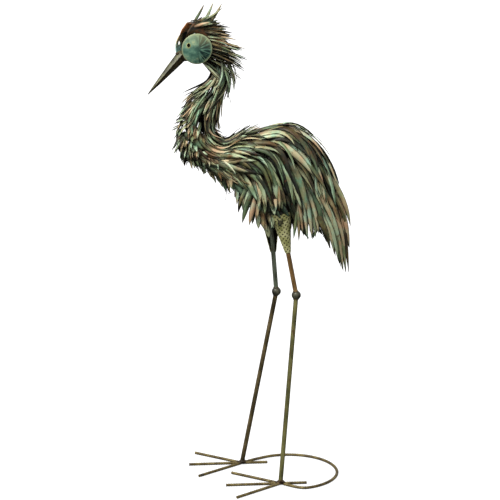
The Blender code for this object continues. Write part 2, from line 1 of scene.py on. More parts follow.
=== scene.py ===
import bmesh
import bpy
import math
import random
from functools import partial
from mathutils import Euler, Matrix, Vector, noise


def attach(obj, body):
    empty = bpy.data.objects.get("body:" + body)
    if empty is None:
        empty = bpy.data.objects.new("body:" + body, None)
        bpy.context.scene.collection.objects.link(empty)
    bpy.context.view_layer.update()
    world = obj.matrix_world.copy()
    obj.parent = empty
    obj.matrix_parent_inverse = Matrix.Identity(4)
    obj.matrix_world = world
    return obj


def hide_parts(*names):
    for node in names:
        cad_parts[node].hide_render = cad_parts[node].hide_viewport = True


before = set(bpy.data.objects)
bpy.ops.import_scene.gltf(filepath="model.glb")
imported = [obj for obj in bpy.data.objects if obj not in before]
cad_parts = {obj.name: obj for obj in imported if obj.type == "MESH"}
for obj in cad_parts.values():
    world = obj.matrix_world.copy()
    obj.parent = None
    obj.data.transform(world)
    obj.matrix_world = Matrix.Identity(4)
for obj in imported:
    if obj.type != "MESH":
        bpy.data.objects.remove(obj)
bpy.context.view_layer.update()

# Garden heron of painted and patinated sheet steel, in metres, with the ground at z = 0. It looks
# along -X, and its left side, at -Y, is towards the camera.
unit = 0.938 / 1000                  # a thousandth of the bird's height
up = Vector((0, 0, 1))
rng = random.Random(23)


# helpers

def linear(hexColour):
    # sRGB hex to the linear colour that the shader takes
    parts = [int(hexColour[k:k + 2], 16) / 255 for k in (1, 3, 5)]
    return tuple(c / 12.92 if c <= 0.04045 else ((c + 0.055) / 1.055) ** 2.4 for c in parts) + (1.0,)


# a mix's colour, an attribute's factor and object coordinates; other nodes give their first output
mainOutput = {"ShaderNodeMix": 2, "ShaderNodeAttribute": 2, "ShaderNodeTexCoord": 3}


def socketOf(source):
    if isinstance(source, bpy.types.Node):
        return source.outputs[mainOutput.get(source.bl_idname, 0)]
    return source


def addNode(tree, kind, inputs=None, stops=None, **settings):
    # one node with its settings, its values, sockets or nodes as inputs, and a ramp's stops
    node = tree.nodes.new("ShaderNode" + kind)
    for key, value in settings.items():
        setattr(node, key, value)
    for key, value in (inputs or {}).items():
        source = socketOf(value)
        if isinstance(source, bpy.types.NodeSocket):
            tree.links.new(source, node.inputs[key])
        else:
            node.inputs[key].default_value = source
    if stops:
        ramp = node.color_ramp
        while len(ramp.elements) < len(stops):
            ramp.elements.new(0.5)
        for element, (position, colour) in zip(ramp.elements, stops):
            element.position = position
            element.color = linear(colour)
    return node


def newMaterial(name, roughness, metallic, specular):
    # the material, addNode for its tree, and its object coordinates
    made = bpy.data.materials.new(name)
    made.use_nodes = True
    inputs = made.node_tree.nodes["Principled BSDF"].inputs
    inputs["Roughness"].default_value = roughness
    inputs["Metallic"].default_value = metallic
    inputs["Specular IOR Level"].default_value = specular
    add = partial(addNode, made.node_tree)
    return made, add, add("TexCoord")


def coat(made, colour, height=None, strength=0.2, distance=0.0006):
    # the colour, and a bump where a height is given
    tree = made.node_tree
    inputs = tree.nodes["Principled BSDF"].inputs
    tree.links.new(socketOf(colour), inputs["Base Color"])
    if height is not None:
        bump = addNode(tree, "Bump", {"Height": height, "Strength": strength, "Distance": distance})
        tree.links.new(socketOf(bump), inputs["Normal"])
    return made


def addObject(name, bm):
    mesh = bpy.data.meshes.new(name)
    bm.to_mesh(mesh)
    bm.free()
    made = bpy.data.objects.new(name, mesh)
    bpy.context.scene.collection.objects.link(made)
    return made


def finishPiece(name, bm, materials, node, smooth, recalc=False):
    # rides on the one body and stands for its CAD node; edges above so many degrees stay sharp
    if recalc:
        bmesh.ops.recalc_face_normals(bm, faces=bm.faces)
    piece = addObject(name, bm)
    for used in materials:
        piece.data.materials.append(used)
    piece.data.shade_smooth()
    piece.data.set_sharp_from_angle(angle=math.radians(smooth))
    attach(piece, "root")
    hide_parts(node)
    return piece


def addWall(piece, thickness, rimMaterial):
    # the sheet's thickness, inwards, with the second material on its inner face
    wall = piece.modifiers.new("Solidify", "SOLIDIFY")
    wall.thickness, wall.offset = thickness, -1.0
    wall.material_offset, wall.material_offset_rim = 1, rimMaterial


def faceUp(bm):
    bmesh.ops.recalc_face_normals(bm, faces=bm.faces)
    if sum(face.normal.z for face in bm.faces) < 0:
        bmesh.ops.reverse_faces(bm, faces=bm.faces)


def axesAt(origin, x, y, z):
    return Matrix.Translation(origin) @ Matrix((x, y, z)).transposed().to_4x4()


def lookAlong(origin, direction):
    # axes whose Z runs along the direction
    z = direction.normalized()
    x = Vector((0, 1, 0)).cross(z)
    if x.length < 0.1:
        x = Vector((1, 0, 0)).cross(z)
    x.normalize()
    return axesAt(origin, x, z.cross(x), z)


def loft(bm, corners, frames):
    # a circle of so many corners, extruded from frame to frame, with flat ends
    verts = bmesh.ops.create_circle(bm, segments=corners, radius=1.0, cap_ends=True)["verts"]
    edges = list(dict.fromkeys(edge for vert in verts for edge in vert.link_edges))
    bmesh.ops.transform(bm, matrix=frames[0], verts=verts)
    for before, after in zip(frames, frames[1:]):
        out = bmesh.ops.extrude_edge_only(bm, edges=edges)["geom"]
        verts = [g for g in out if isinstance(g, bmesh.types.BMVert)]
        fresh = set(verts)
        edges = [g for g in out if isinstance(g, bmesh.types.BMEdge) and fresh.issuperset(g.verts)]
        bmesh.ops.transform(bm, matrix=after @ before.inverted(), verts=verts)
    bmesh.ops.edgeloop_fill(bm, edges=edges)


def sweep(bm, path, radii, corners):
    # round rod along a path, with a radius at each point
    frames = []
    for k, (point, radius) in enumerate(zip(path, radii)):
        ahead = path[min(k + 1, len(path) - 1)] - path[max(k - 1, 0)]
        frames.append(lookAlong(point, ahead) @ Matrix.Diagonal((radius, radius, radius, 1)))
    loft(bm, corners, frames)


def weldBead(bm, centre, radii, amount, seed):
    # a ball flattened and made uneven
    for vert in bmesh.ops.create_icosphere(bm, subdivisions=2, radius=1.0)["verts"]:
        grow = 1 + amount * noise.noise(vert.co * 1.7 + Vector((seed, 0, 0)))
        vert.co = centre + Vector(c * r * grow for c, r in zip(vert.co, radii))


# materials

def patinaPaint():
    # verdigris and olive paint brushed over sheet steel and lacquered, so it drifts from green
    # to tan and rust along each strip; it is darker along the edges, as wear to dark steel and painted
    # shade, and towards the root, as grime and painted shade under the strips above
    made, add, place = newMaterial("patinaPaintedSteel", 0.46, 0.18, 0.35)
    ownUv = add("UVMap", uv_map="UVMap")
    warm = add("Attribute", attribute_name="warm")
    pale = add("Attribute", attribute_name="pale")
    drift = add("TexNoise", {"Vector": place, "Scale": 1 / 0.028, "Detail": 3.0,
                             "Roughness": 0.6})              # 28 mm patches
    shift = add("VectorMath", {0: ownUv, 1: (0.9, 2.8, 1.0)}, operation="MULTIPLY")
    own = add("CombineXYZ", {"X": warm, "Y": pale, "Z": pale})
    apart = add("VectorMath", {0: own, 1: (71.0, 43.0, 19.0)}, operation="MULTIPLY")
    both = add("VectorMath", {0: shift, 1: apart}, operation="ADD")
    streak = add("TexNoise", {"Vector": both, "Scale": 1.0, "Detail": 4.0,
                              "Roughness": 0.62})            # about three brushed patches a strip
    level = add("Math", {0: streak, 1: 1.42, 2: -0.475}, operation="MULTIPLY_ADD")
    lit = add("Math", {0: pale, 1: level}, operation="ADD")
    green, olive, brown = (
        add("ValToRGB", {"Fac": lit}, stops=tuple(zip((0.0, 0.25, 0.48, 0.72, 1.0), colours)))
        for colours in (("#10150F", "#28352B", "#43624D", "#659478", "#ADD6B9"),
                        ("#13130B", "#2D2E1C", "#585B35", "#848654", "#B8B585"),
                        ("#130E08", "#352716", "#5F4829", "#8F6F47", "#C7A37E")))
    second = add("TexNoise", {"Vector": apart, "Scale": 0.37, "Detail": 1.0})     # one tint a strip
    along = add("Math", {0: drift, 1: 1.6, 2: -0.9}, operation="MULTIPLY_ADD")
    tilt = add("Math", {0: second, 1: 1.5, 2: along}, operation="MULTIPLY_ADD", use_clamp=True)
    cool = add("Mix", {0: tilt, 6: green, 7: olive}, data_type="RGBA")
    sway = add("Math", {0: drift, 1: 3.2, 2: -2.05}, operation="MULTIPLY_ADD")
    lean = add("Math", {0: warm, 1: 1.6, 2: sway}, operation="MULTIPLY_ADD", use_clamp=True)
    mixed = add("Mix", {0: lean, 6: cool, 7: brown}, data_type="RGBA")
    rustSpot = add("TexNoise", {"Vector": place, "Scale": 1 / 0.011, "Detail": 4.0,
                                "Roughness": 0.65})          # rust breaking through, 11 mm apart
    rustEdge = add("MapRange", {"Value": rustSpot, "From Min": 0.60, "From Max": 0.70,
                                "To Max": 0.75})
    rusted = add("Mix", {0: rustEdge, 6: mixed, 7: linear("#6B3B20")}, data_type="RGBA")
    split = add("SeparateXYZ", {0: ownUv})                   # X across the strip, Y along it
    across = add("Math", {0: split.outputs["X"], 1: 0.5}, operation="SUBTRACT")
    rim = add("Math", {0: across}, operation="ABSOLUTE")
    # darker along the edges: wear to dark steel and painted shade
    wornAndShadedEdge = add("MapRange", {"Value": rim, "From Min": 0.37, "From Max": 0.45, "To Max": 0.88})
    root = add("MapRange", {"Value": split.outputs["Y"], "From Min": 0.38, "From Max": 0.05,
                            "To Max": 0.85})                 # painted shade and grime under the strips above
    dark = add("Math", {0: wornAndShadedEdge, 1: root}, operation="MAXIMUM")
    done = add("Mix", {0: dark, 6: rusted, 7: linear("#17150F")}, data_type="RGBA")
    grain = add("TexNoise", {"Vector": place, "Scale": 1 / 0.0025, "Detail": 2.0})     # 2.5 mm grain
    return coat(made, done, grain, 0.25)


def scorchedSteelAndPaintedShade():
    # the unpainted back and cut edge of the strips: dark oxide with a brown cast, kept near black as
    # painted shade for the hollow inside that shows through the gaps
    made, add, place = newMaterial("scorchedSteelAndPaintedShade", 0.6, 0.3, 0.25)
    cloud = add("TexNoise", {"Vector": place, "Scale": 1 / 0.018, "Detail": 4.0})
    return coat(made, add("ValToRGB", {"Fac": cloud},
                          stops=((0.3, "#12110D"), (0.5, "#25231A"), (0.68, "#42382A"))))


def cheekPaint():
    # blue-green lacquer on the pressed discs, brushed with dark strokes at the back and rubbed
    # to a pale yellow-green along the rim
    made, add, place = newMaterial("cheekLacquer", 0.4, 0.15, 0.4)
    ownUv = add("UVMap", uv_map="UVMap")
    split = add("SeparateXYZ", {0: ownUv})                   # X forward, Y up, 1 at the rim
    ahead, above = split.outputs["X"], split.outputs["Y"]
    cloud = add("TexNoise", {"Vector": place, "Scale": 1 / 0.012, "Detail": 5.0,
                             "Roughness": 0.6})              # 12 mm clouds
    base = add("ValToRGB", {"Fac": cloud},
               stops=((0.30, "#3A5F50"), (0.45, "#547D6B"), (0.56, "#729A80"), (0.70, "#A6B689")))
    flat = add("CombineXYZ", {"X": ahead, "Y": above})
    reach = add("VectorMath", {0: flat}, operation="LENGTH").outputs["Value"]
    turn = add("Math", {0: above, 1: ahead}, operation="ARCTAN2")
    polar = add("CombineXYZ", {"X": turn, "Y": reach})
    polarFit = add("VectorMath", {0: polar, 1: (7.0, 1.1, 1.0)}, operation="MULTIPLY")
    strokes = add("TexNoise", {"Vector": polarFit, "Scale": 1.0, "Detail": 2.0})   # 3 mm wide
    cut = add("MapRange", {"Value": strokes, "From Min": 0.43, "From Max": 0.50})
    behind = add("MapRange", {"Value": ahead, "From Min": 0.12, "From Max": -0.22})
    within = add("MapRange", {"Value": reach, "From Min": 0.94, "From Max": 0.84})
    part = add("Math", {0: cut, 1: behind}, operation="MULTIPLY")
    stroke = add("Math", {0: part, 1: within}, operation="MULTIPLY")
    dashed = add("Mix", {0: stroke, 6: base, 7: linear("#12302B")}, data_type="RGBA")
    lower = add("Math", {0: above, 1: -0.9, 2: 0.05}, operation="MULTIPLY_ADD")
    yellow = add("Math", {0: cloud, 1: lower}, operation="MULTIPLY", use_clamp=True)
    aged = add("Mix", {0: yellow, 6: dashed, 7: linear("#A3A272")}, data_type="RGBA")
    rim = add("MapRange", {"Value": reach, "From Min": 0.90, "From Max": 0.99, "To Max": 0.75})
    done = add("Mix", {0: rim, 6: aged, 7: linear("#A9AC7F")}, data_type="RGBA")
    return coat(made, done, strokes, 0.15, 0.0008)


def innerCheekPaint():
    # the hollow side of the discs: verdigris running to rust near the crown, painted bright at the front
    # as painted light in the shaded hollow, and near black behind as painted shade, so the punched eye looks
    # dark
    made, add, place = newMaterial("innerCheekPatinaAndPaintedLight", 0.5, 0.1, 0.35)
    ownUv = add("UVMap", uv_map="UVMap")
    split = add("SeparateXYZ", {0: ownUv})
    cloud = add("TexNoise", {"Vector": place, "Scale": 1 / 0.008, "Detail": 4.0})
    high = add("Math", {0: split.outputs["Y"], 1: 0.7, 2: cloud}, operation="MULTIPLY_ADD")
    tint = add("ValToRGB", {"Fac": high},
               stops=((0.25, "#B09A68"), (0.45, "#A9D8CB"), (0.80, "#8CC4B8"), (1.0, "#C98652")))
    # near black behind as painted shade, the bright tint in front as painted light
    front = add("MapRange", {"Value": split.outputs["X"], "From Min": 0.25, "From Max": 0.50})
    return coat(made, add("Mix", {0: front, 6: linear("#1A1B14"), 7: tint}, data_type="RGBA"))


def beakPaint():
    # olive lacquer over dark brown, both mottled; the olive on the faces that look up is painted light
    # and the dark brown on the faces below is painted shade
    made, add, place = newMaterial("beakLacquer", 0.38, 0.25, 0.4)
    upper = add("Attribute", attribute_name="pale")
    cloud = add("TexNoise", {"Vector": place, "Scale": 1 / 0.009, "Detail": 5.0,
                             "Roughness": 0.6})              # 9 mm mottling
    olive, umber = (add("ValToRGB", {"Fac": cloud}, stops=tuple(zip((0.30, 0.52, 0.70), colours)))
                    for colours in (("#1F1E10", "#413F24", "#63633F"), ("#17110A", "#352918", "#56462B")))
    # mixed by facing: painted light above, painted shade below
    return coat(made, add("Mix", {0: upper, 6: umber, 7: olive}, data_type="RGBA"))


def legPaint(name, main, light, rust, rustAmount):
    # thin lacquer wiped over steel rod, mottled along the rod
    made, add, place = newMaterial(name, 0.42, 0.3, 0.4)
    fit = add("Mapping", {"Vector": place, "Scale": (1.0, 1.0, 0.3)})
    cloud = add("TexNoise", {"Vector": fit, "Scale": 1 / 0.012, "Detail": 5.0,
                             "Roughness": 0.6})              # 12 by 40 mm mottling
    tint = add("ValToRGB", {"Fac": cloud}, stops=((0.28, "#221D12"), (0.45, main), (0.66, light)))
    spot = add("TexNoise", {"Vector": fit, "Scale": 1 / 0.006, "Detail": 3.0})
    amount = add("MapRange", {"Value": spot, "From Min": 0.62 - 0.3 * rustAmount,
                              "From Max": 0.74 - 0.2 * rustAmount, "To Max": 0.85})
    done = add("Mix", {0: amount, 6: tint, 7: linear(rust)}, data_type="RGBA")
    return coat(made, done, spot)


def thighPaint():
    # pale yellow-olive paint on punched sheet, dark brown in and round the pressed dimples
    made, add, place = newMaterial("punchedSheetPaint", 0.5, 0.12, 0.35)
    hole = add("Attribute", attribute_name="dimpleMark")
    cloud = add("TexNoise", {"Vector": place, "Scale": 1 / 0.014, "Detail": 4.0})
    tint = add("ValToRGB", {"Fac": cloud},
               stops=((0.30, "#949658"), (0.50, "#BDBC80"), (0.70, "#D6D4A0")))
    spread = add("MapRange", {"Value": hole, "From Min": 0.35, "From Max": 0.90, "To Max": 0.88})
    return coat(made, add("Mix", {0: spread, 6: tint, 7: linear("#33270F")}, data_type="RGBA"))


def rustyPlate():
    # the crown plate: heat-coloured steel, orange-brown with dark streaks towards the nape
    made, add, place = newMaterial("rustedPlate", 0.48, 0.3, 0.35)
    ownUv = add("UVMap", uv_map="UVMap")
    fit = add("VectorMath", {0: ownUv, 1: (8.0, 2.0, 1.0)}, operation="MULTIPLY")     # 9 by 30 mm streaks
    streak = add("TexNoise", {"Vector": fit, "Scale": 1.0, "Detail": 5.0})
    tint = add("ValToRGB", {"Fac": streak},
               stops=((0.36, "#12100A"), (0.46, "#302613"), (0.52, "#5C3A1B"), (0.57, "#2B2817"),
                      (0.66, "#474A2E"), (0.76, "#5A7560")))
    spot = add("TexNoise", {"Vector": place, "Scale": 1 / 0.003})
    return coat(made, tint, spot)


stripPaint = patinaPaint()
# the backs and cut edges: dark oxide and painted shade
stripBack = scorchedSteelAndPaintedShade()
cheekSkin = cheekPaint()
cheekInner = innerCheekPaint()
beakSkin = beakPaint()
thighSkin = thighPaint()
crownSkin = rustyPlate()
goldenLeg = legPaint("lacqueredRodGolden", "#7A5C33", "#A8875A", "#5E3B1C", 0.2)
oliveLeg = legPaint("lacqueredRodOlive", "#57562F", "#807C4A", "#4A3018", 0.15)
greyLeg = legPaint("lacqueredRodGrey", "#596150", "#7F8872", "#3E3020", 0.1)
tanLeg = legPaint("lacqueredRodTan", "#4C4228", "#857450", "#3B2A16", 0.2)
toePaint = legPaint("lacqueredToeRod", "#574924", "#857646", "#40301A", 0.3)
kneeSteel = legPaint("darkBallSteel", "#3A3A30", "#74725C", "#14110B", 0.6)
weldSteel = legPaint("weldBead", "#3A2C1A", "#5E4A2C", "#2A1A0E", 0.4)
print("materials ready")


# the line of the feathers, forehead to tail, in thousandths of the height:
# back x, back z, front x, front z, half width
bodyLine = (
    (-141, 937, -115, 876, 13), (-117, 958, -99, 872, 21), (-79, 950, -92, 871, 28),
    (-47, 920, -87, 870, 29), (-37, 848, -92, 846, 25), (-58, 793, -128, 799, 32),
    (-70, 748, -151, 736, 38), (-62, 732, -138, 690, 41), (-46, 724, -95, 661, 45),
    (-12, 738, -70, 640, 53), (33, 752, -48, 618, 60), (78, 759, -30, 596, 64),
    (119, 736, -16, 572, 64), (152, 696, -5, 551, 60), (178, 635, 5, 530, 52),
    (195, 566, 23, 513, 40), (203, 498, 50, 499, 27))

# the head is turned aside about the nape, between two places on that line
head = {"centre": Vector((-0.1097, 0, 0.8530)), "yaw": math.radians(20), "nape": Vector((-60 * unit, 0, 0)),
        "turnFrom": 5.0, "turnOver": 2.0, "toeIn": math.radians(18), "crownAhead": -0.0056,
        "crownAbove": 0.0080, "crownRadius": 0.0399, "crownWidth": 0.036, "crownNarrow": 0.45}


def sectionAt(place):
    # a smooth curve through the sections, straight on past both ends
    last = len(bodyLine) - 1
    index = min(max(math.floor(place), 0), last - 1)
    t = place - index
    a, b, c, d = (bodyLine[min(max(index + k, 0), last)] for k in (-1, 0, 1, 2))
    if t < 0 or t > 1:
        return [q + (r - q) * t for q, r in zip(b, c)]
    return [q + 0.5 * t * (r - p + t * (2 * p - 5 * q + 4 * r - s + t * (3 * (q - r) + s - p)))
            for p, q, r, s in zip(a, b, c, d)]


def turnHead(point, place):
    share = min(max((head["turnFrom"] - place) / head["turnOver"], 0.0), 1.0)
    return head["nape"] + Matrix.Rotation(head["yaw"] * share, 3, "Z") @ (point - head["nape"])


def skin(place, angle):
    # angle 0 on the back, half a turn on the front
    backX, backZ, frontX, frontZ, half = (value * unit for value in sectionAt(place))
    back, front = Vector((backX, 0, backZ)), Vector((frontX, 0, frontZ))
    spoke = (back - front) / 2 * math.cos(angle) + Vector((0, half * math.sin(angle), 0))
    return turnHead((back + front) / 2 + spoke, place)


def skinNormal(place, angle, probe=0.02):
    along = skin(place + probe, angle) - skin(place - probe, angle)
    around = skin(place, angle + probe) - skin(place, angle - probe)
    normal = around.cross(along).normalized()
    middle = (skin(place, angle) + skin(place, angle + math.pi)) / 2
    return -normal if normal.dot(skin(place, angle) - middle) < 0 else normal


# one cut strip: its share of full width at the root, how soon it is full and how late it tapers
stripBlank = {"stations": 9, "cup": 0.06, "tip": 0.05, "thickness": 0.0009, "root": 0.6, "swell": 1.6,
              "taper": 4.0, "rootTwist": 0.3, "bowFrom": 0.4, "leastLength": 0.010, "leastGirth": 0.008}


def skinPath(place, angle, length, lift, depth, fan, yaw, bow, probe=0.05):
    # a strip starts below the skin, runs along it at its own slant and lifts off at its tip
    points, normals = [], []
    stations = stripBlank["stations"]
    step = length / (stations - 1)
    for k in range(stations):
        share = k / (stations - 1)
        normal = skinNormal(place, angle)
        points.append(skin(place, angle) + normal * (lift * share ** 2 - depth * (1 - share) ** 2))
        normals.append(normal)
        speed = (skin(place + probe, angle) - skin(place - probe, angle)).length / (2 * probe)
        girth = (skin(place, angle + probe) - skin(place, angle - probe)).length / (2 * probe)
        slant = math.tan(yaw + bow * (share - stripBlank["bowFrom"]))
        place += step / max(speed, stripBlank["leastLength"])
        angle += fan * math.sin(angle) / stations + slant * step / max(girth, stripBlank["leastGirth"])
    return points, normals


def leafWidth(share):
    swollen = min(1.0, stripBlank["root"] + stripBlank["swell"] * share)
    return max(swollen * max(0.0, 1 - share ** stripBlank["taper"]), stripBlank["tip"])


def addStrip(bm, points, normals, width, twist, warm, pale):
    # a grid bent along its path, narrow at the root and pointed at the tip
    last = stripBlank["stations"] - 1
    made = bmesh.ops.create_grid(bm, x_segments=2, y_segments=last, size=1.0, calc_uvs=True)["verts"]
    warmLayer, paleLayer = bm.verts.layers.float["warm"], bm.verts.layers.float["pale"]
    still = stripBlank["rootTwist"]
    frames = []
    for k, normal in enumerate(normals):
        ahead = (points[min(k + 1, last)] - points[max(k - 1, 0)]).normalized()
        side = ahead.cross(normal).normalized()
        side = Matrix.Rotation(twist * (still + (1 - still) * k / last), 3, ahead) @ side
        frames.append((side, side.cross(ahead)))
    for vert in made:
        k = round((vert.co.y + 1) / 2 * last)
        across = vert.co.x
        side, outward = frames[k]
        wide = width * leafWidth(k / last)
        vert.co = points[k] + side * across * wide / 2
        vert.co += outward * stripBlank["cup"] * wide * (1 - abs(across))
        vert[warmLayer], vert[paleLayer] = warm, pale


def newStripMesh():
    bm = bmesh.new()
    bm.loops.layers.uv.new("UVMap")
    bm.verts.layers.float.new("warm")
    bm.verts.layers.float.new("pale")
    return bm


def finishStrips(name, bm, front=stripPaint, back=stripBack):
    piece = finishPiece(name, bm, [front, back], "plumage", 50)
    addWall(piece, stripBlank["thickness"], 1)


# plumage

plumage = {
    # place, number round the bird, length, width, lift, root depth, fan, reach (share of the way round)
    "neck": (
        (3.35, 40, 0.056, 0.0056, 0.008, 0.014, 0.0, 0.92), (3.9, 42, 0.054, 0.0058, 0.005, 0.01, 0.0, 1.0),
        (4.4, 42, 0.054, 0.006, 0.004, 0.009, 0.0, 1.0), (4.95, 44, 0.056, 0.0062, 0.004, 0.009, 0.0, 1.0),
        (5.5, 46, 0.058, 0.0066, 0.004, 0.009, 0.0, 1.0), (6.1, 46, 0.06, 0.007, 0.005, 0.009, 0.1, 1.0),
        (6.75, 46, 0.062, 0.0074, 0.006, 0.009, 0.2, 1.0), (7.45, 42, 0.066, 0.0078, 0.005, 0.009, 0.3, 1.0),
        (8.15, 36, 0.074, 0.0088, 0.003, 0.009, 0.4, 1.0)),
    "body": (
        (8.7, 31, 0.082, 0.0104, 0.004, 0.012, 0.5, 0.86), (9.25, 30, 0.096, 0.0116, 0.005, 0.013, 0.5, 0.84),
        (9.85, 29, 0.106, 0.0126, 0.006, 0.014, 0.45, 0.82), (10.5, 28, 0.112, 0.013, 0.006, 0.014, 0.4, 0.82),
        (11.1, 28, 0.116, 0.0132, 0.006, 0.014, 0.3, 0.82), (11.75, 28, 0.118, 0.0132, 0.006, 0.013, 0.2, 0.8),
        (12.4, 27, 0.116, 0.013, 0.005, 0.012, 0.1, 0.8), (13.0, 26, 0.112, 0.0126, 0.005, 0.011, 0.0, 0.8),
        (13.6, 22, 0.106, 0.0122, 0.004, 0.01, 0.0, 0.74), (14.1, 14, 0.094, 0.0118, 0.003, 0.009, 0.0, 0.5)),
    # round the breast alone, where the bend opens the rows: wide flat strips below, then short ones
    "breast": (
        (5.2, 16, 0.06, 0.012, 0.0, 0.006, 0.0, 0.5), (5.9, 16, 0.062, 0.0125, 0.0, 0.006, 0.0, 0.5),
        (6.6, 17, 0.064, 0.013, 0.0, 0.006, 0.0, 0.5), (7.2, 17, 0.066, 0.013, 0.0, 0.006, 0.0, 0.5),
        (7.8, 16, 0.068, 0.0125, 0.0, 0.006, 0.0, 0.48),
        (5.0, 16, 0.058, 0.0076, 0.003, 0.009, 0.0, 0.5), (5.5, 17, 0.06, 0.008, 0.005, 0.009, 0.0, 0.5),
        (6.0, 19, 0.062, 0.0084, 0.006, 0.008, 0.0, 0.5), (6.5, 20, 0.062, 0.0086, 0.006, 0.008, 0.0, 0.5),
        (7.0, 20, 0.062, 0.0088, 0.005, 0.01, 0.0, 0.5), (7.5, 20, 0.064, 0.009, 0.004, 0.01, 0.0, 0.5),
        (8.0, 20, 0.068, 0.0092, 0.002, 0.01, 0.0, 0.48), (8.5, 18, 0.074, 0.0096, 0.0, 0.01, 0.0, 0.45)),
    # where the thighs leave the plumage open, near side and far side, and the fringe's height elsewhere
    "nearHip": (0.012, 0.098), "farHip": (0.0, 0.074), "thighFringe": 0.545, "rearFringe": 0.48,
    "breastFringe": 0.5360, "fringeSlope": 1.3}

# how far single strips stray from their row
scatter = {"share": 0.35, "place": 0.25, "length": (0.8, 1.15), "lift": (0.0, 2.4), "sunk": (0.5, 1.3),
           "width": (0.7, 1.2), "bow": 1.4, "twist": 0.32,
           # the back is smooth, and dips behind the neck
           "backAngle": 0.9, "backFrom": 8, "napeTo": 10, "napeLift": 0.15, "backLift": 0.45, "dipTo": 9.5,
           "dip": 0.007,
           # strips below the fringe are cut to a ragged line, and the low ones curl forward
           "ragged": 0.024, "raggedRear": 0.010, "rearFrom": 0.03, "trims": 12, "trim": 0.9,
           "curlFrom": 0.56, "curlOver": 0.05, "curl": (-0.2, 1.0)}


def fringeHeight(tip):
    start, end = plumage["nearHip"] if tip.y < 0 else plumage["farHip"]
    if start < tip.x < end:
        return plumage["thighFringe"]
    return max(plumage["rearFringe"], plumage["breastFringe"] - tip.x * plumage["fringeSlope"])


def smoothBack(rise, place, angle):
    if abs(angle) >= scatter["backAngle"] or place <= scatter["backFrom"]:
        return rise
    calm = scatter["napeLift"] if place < scatter["napeTo"] else scatter["backLift"]
    return rise * calm - (scatter["dip"] if place < scatter["dipTo"] else 0.0)


def curled(points, curl):
    last = len(points) - 1
    low = min(max((scatter["curlFrom"] - points[-1].z) / scatter["curlOver"], 0.0), 1.0)
    low *= rng.uniform(*scatter["curl"])
    return [point + Vector((-curl * low * (k / last) ** 3, 0, 0)) for k, point in enumerate(points)]


def makeRows(name, rows, slant, warmRange, paleRange, curl=0.0, middle=0.0):
    bm = newStripMesh()
    for row, (place, count, length, width, lift, depth, fan, reach) in enumerate(rows):
        for k in range(count):
            share = (k + 0.5 * (row % 2) + rng.uniform(-scatter["share"], scatter["share"])) / count
            angle = middle + math.pi * reach * (2 * share - 1)
            spot = place + rng.uniform(-scatter["place"], scatter["place"])
            long = length * rng.uniform(*scatter["length"])
            rise = smoothBack(lift * rng.uniform(*scatter["lift"]), place, angle)
            sunk = depth * rng.uniform(*scatter["sunk"])
            yaw, bow = rng.gauss(0, slant), rng.gauss(0, slant * scatter["bow"])
            points, normals = skinPath(spot, angle, long, rise, sunk, fan, yaw, bow)
            stray = scatter["ragged"] if points[-1].x < scatter["rearFrom"] else scatter["raggedRear"]
            ragged = abs(rng.gauss(0, stray))
            for _ in range(scatter["trims"]):
                if min(point.z - fringeHeight(point) for point in points[-2:]) >= ragged:
                    break
                long *= scatter["trim"]
                points, normals = skinPath(spot, angle, long, rise, sunk, fan, yaw, bow)
            if curl:
                points = curled(points, curl)
            warm, pale = rng.uniform(*warmRange), rng.uniform(*paleRange)
            wide = width * rng.uniform(*scatter["width"])
            addStrip(bm, points, normals, wide, rng.gauss(0, scatter["twist"]), warm, pale)
    finishStrips(name, bm)


# strips hung one by one on both sides, in millimetres in the bird's own plane: root x and z,
# tip x and z. The first list makes the wedge of the tail, the second the fringe's long points.
hang = {
    "tail": ((160, 585, 192, 413), (152, 578, 187, 413), (144, 570, 181, 416), (136, 565, 175, 427),
             (128, 561, 168, 440), (120, 558, 160, 454), (113, 556, 151, 467), (150, 608, 195, 505),
             (154, 592, 193, 462), (142, 598, 187, 497), (142, 580, 184, 452), (132, 590, 176, 492),
             (130, 574, 173, 464), (122, 584, 164, 490)),
    "spears": ((112, 590, 139, 494), (104, 588, 127, 500), (98, 588, 114, 492), (90, 590, 106, 490),
               (86, 578, 96, 502), (88, 572, 89, 488), (92, 566, 79, 492), (4, 588, -19, 525),
               (12, 584, -7, 520), (-6, 598, -27, 555), (0, 594, -16, 546), (20, 580, 6, 530)),
    # distance from the middle plane: least, at which x in millimetres, and more for each one ahead
    "rootAside": (0.012, 160, 0.0007), "tipAside": (0.003, 193, 0.0006), "widest": 0.046,
    "bendAhead": 0.75, "bendDown": 0.45, "bendAside": 0.004, "facing": (0.35, 0.1),
    "width": 0.0118, "widths": (0.75, 1.1), "tipStray": 0.001, "twist": 0.35, "warm": (0.0, 0.7),
    "pale": (0.15, 1.3)}


def hangStrips(name, strips):
    bm = newStripMesh()
    last = stripBlank["stations"] - 1
    for rootX, rootZ, tipX, tipZ in strips:
        rootAside, tipAside = (min(hang["widest"], least + (rear - x) * more) for x, (least, rear, more)
                               in ((rootX, hang["rootAside"]), (tipX, hang["tipAside"])))
        for side in (-1, 1):
            root = Vector((rootX / 1000, side * rootAside, rootZ / 1000))
            stray = rng.uniform(-hang["tipStray"], hang["tipStray"])
            tip = Vector((tipX / 1000 + stray, side * tipAside, tipZ / 1000))
            bend = Vector((root.x + (tip.x - root.x) * hang["bendAhead"],
                           side * (max(rootAside, tipAside) + hang["bendAside"]),
                           root.z + (tip.z - root.z) * hang["bendDown"]))
            points = [root * (1 - t) ** 2 + bend * 2 * t * (1 - t) + tip * t * t
                      for t in (k / last for k in range(last + 1))]
            outward = Vector((hang["facing"][0], side, hang["facing"][1])).normalized()
            addStrip(bm, points, [outward] * (last + 1), hang["width"] * rng.uniform(*hang["widths"]),
                     rng.uniform(-hang["twist"], hang["twist"]), rng.uniform(*hang["warm"]),
                     rng.uniform(*hang["pale"]))
    finishStrips(name, bm)


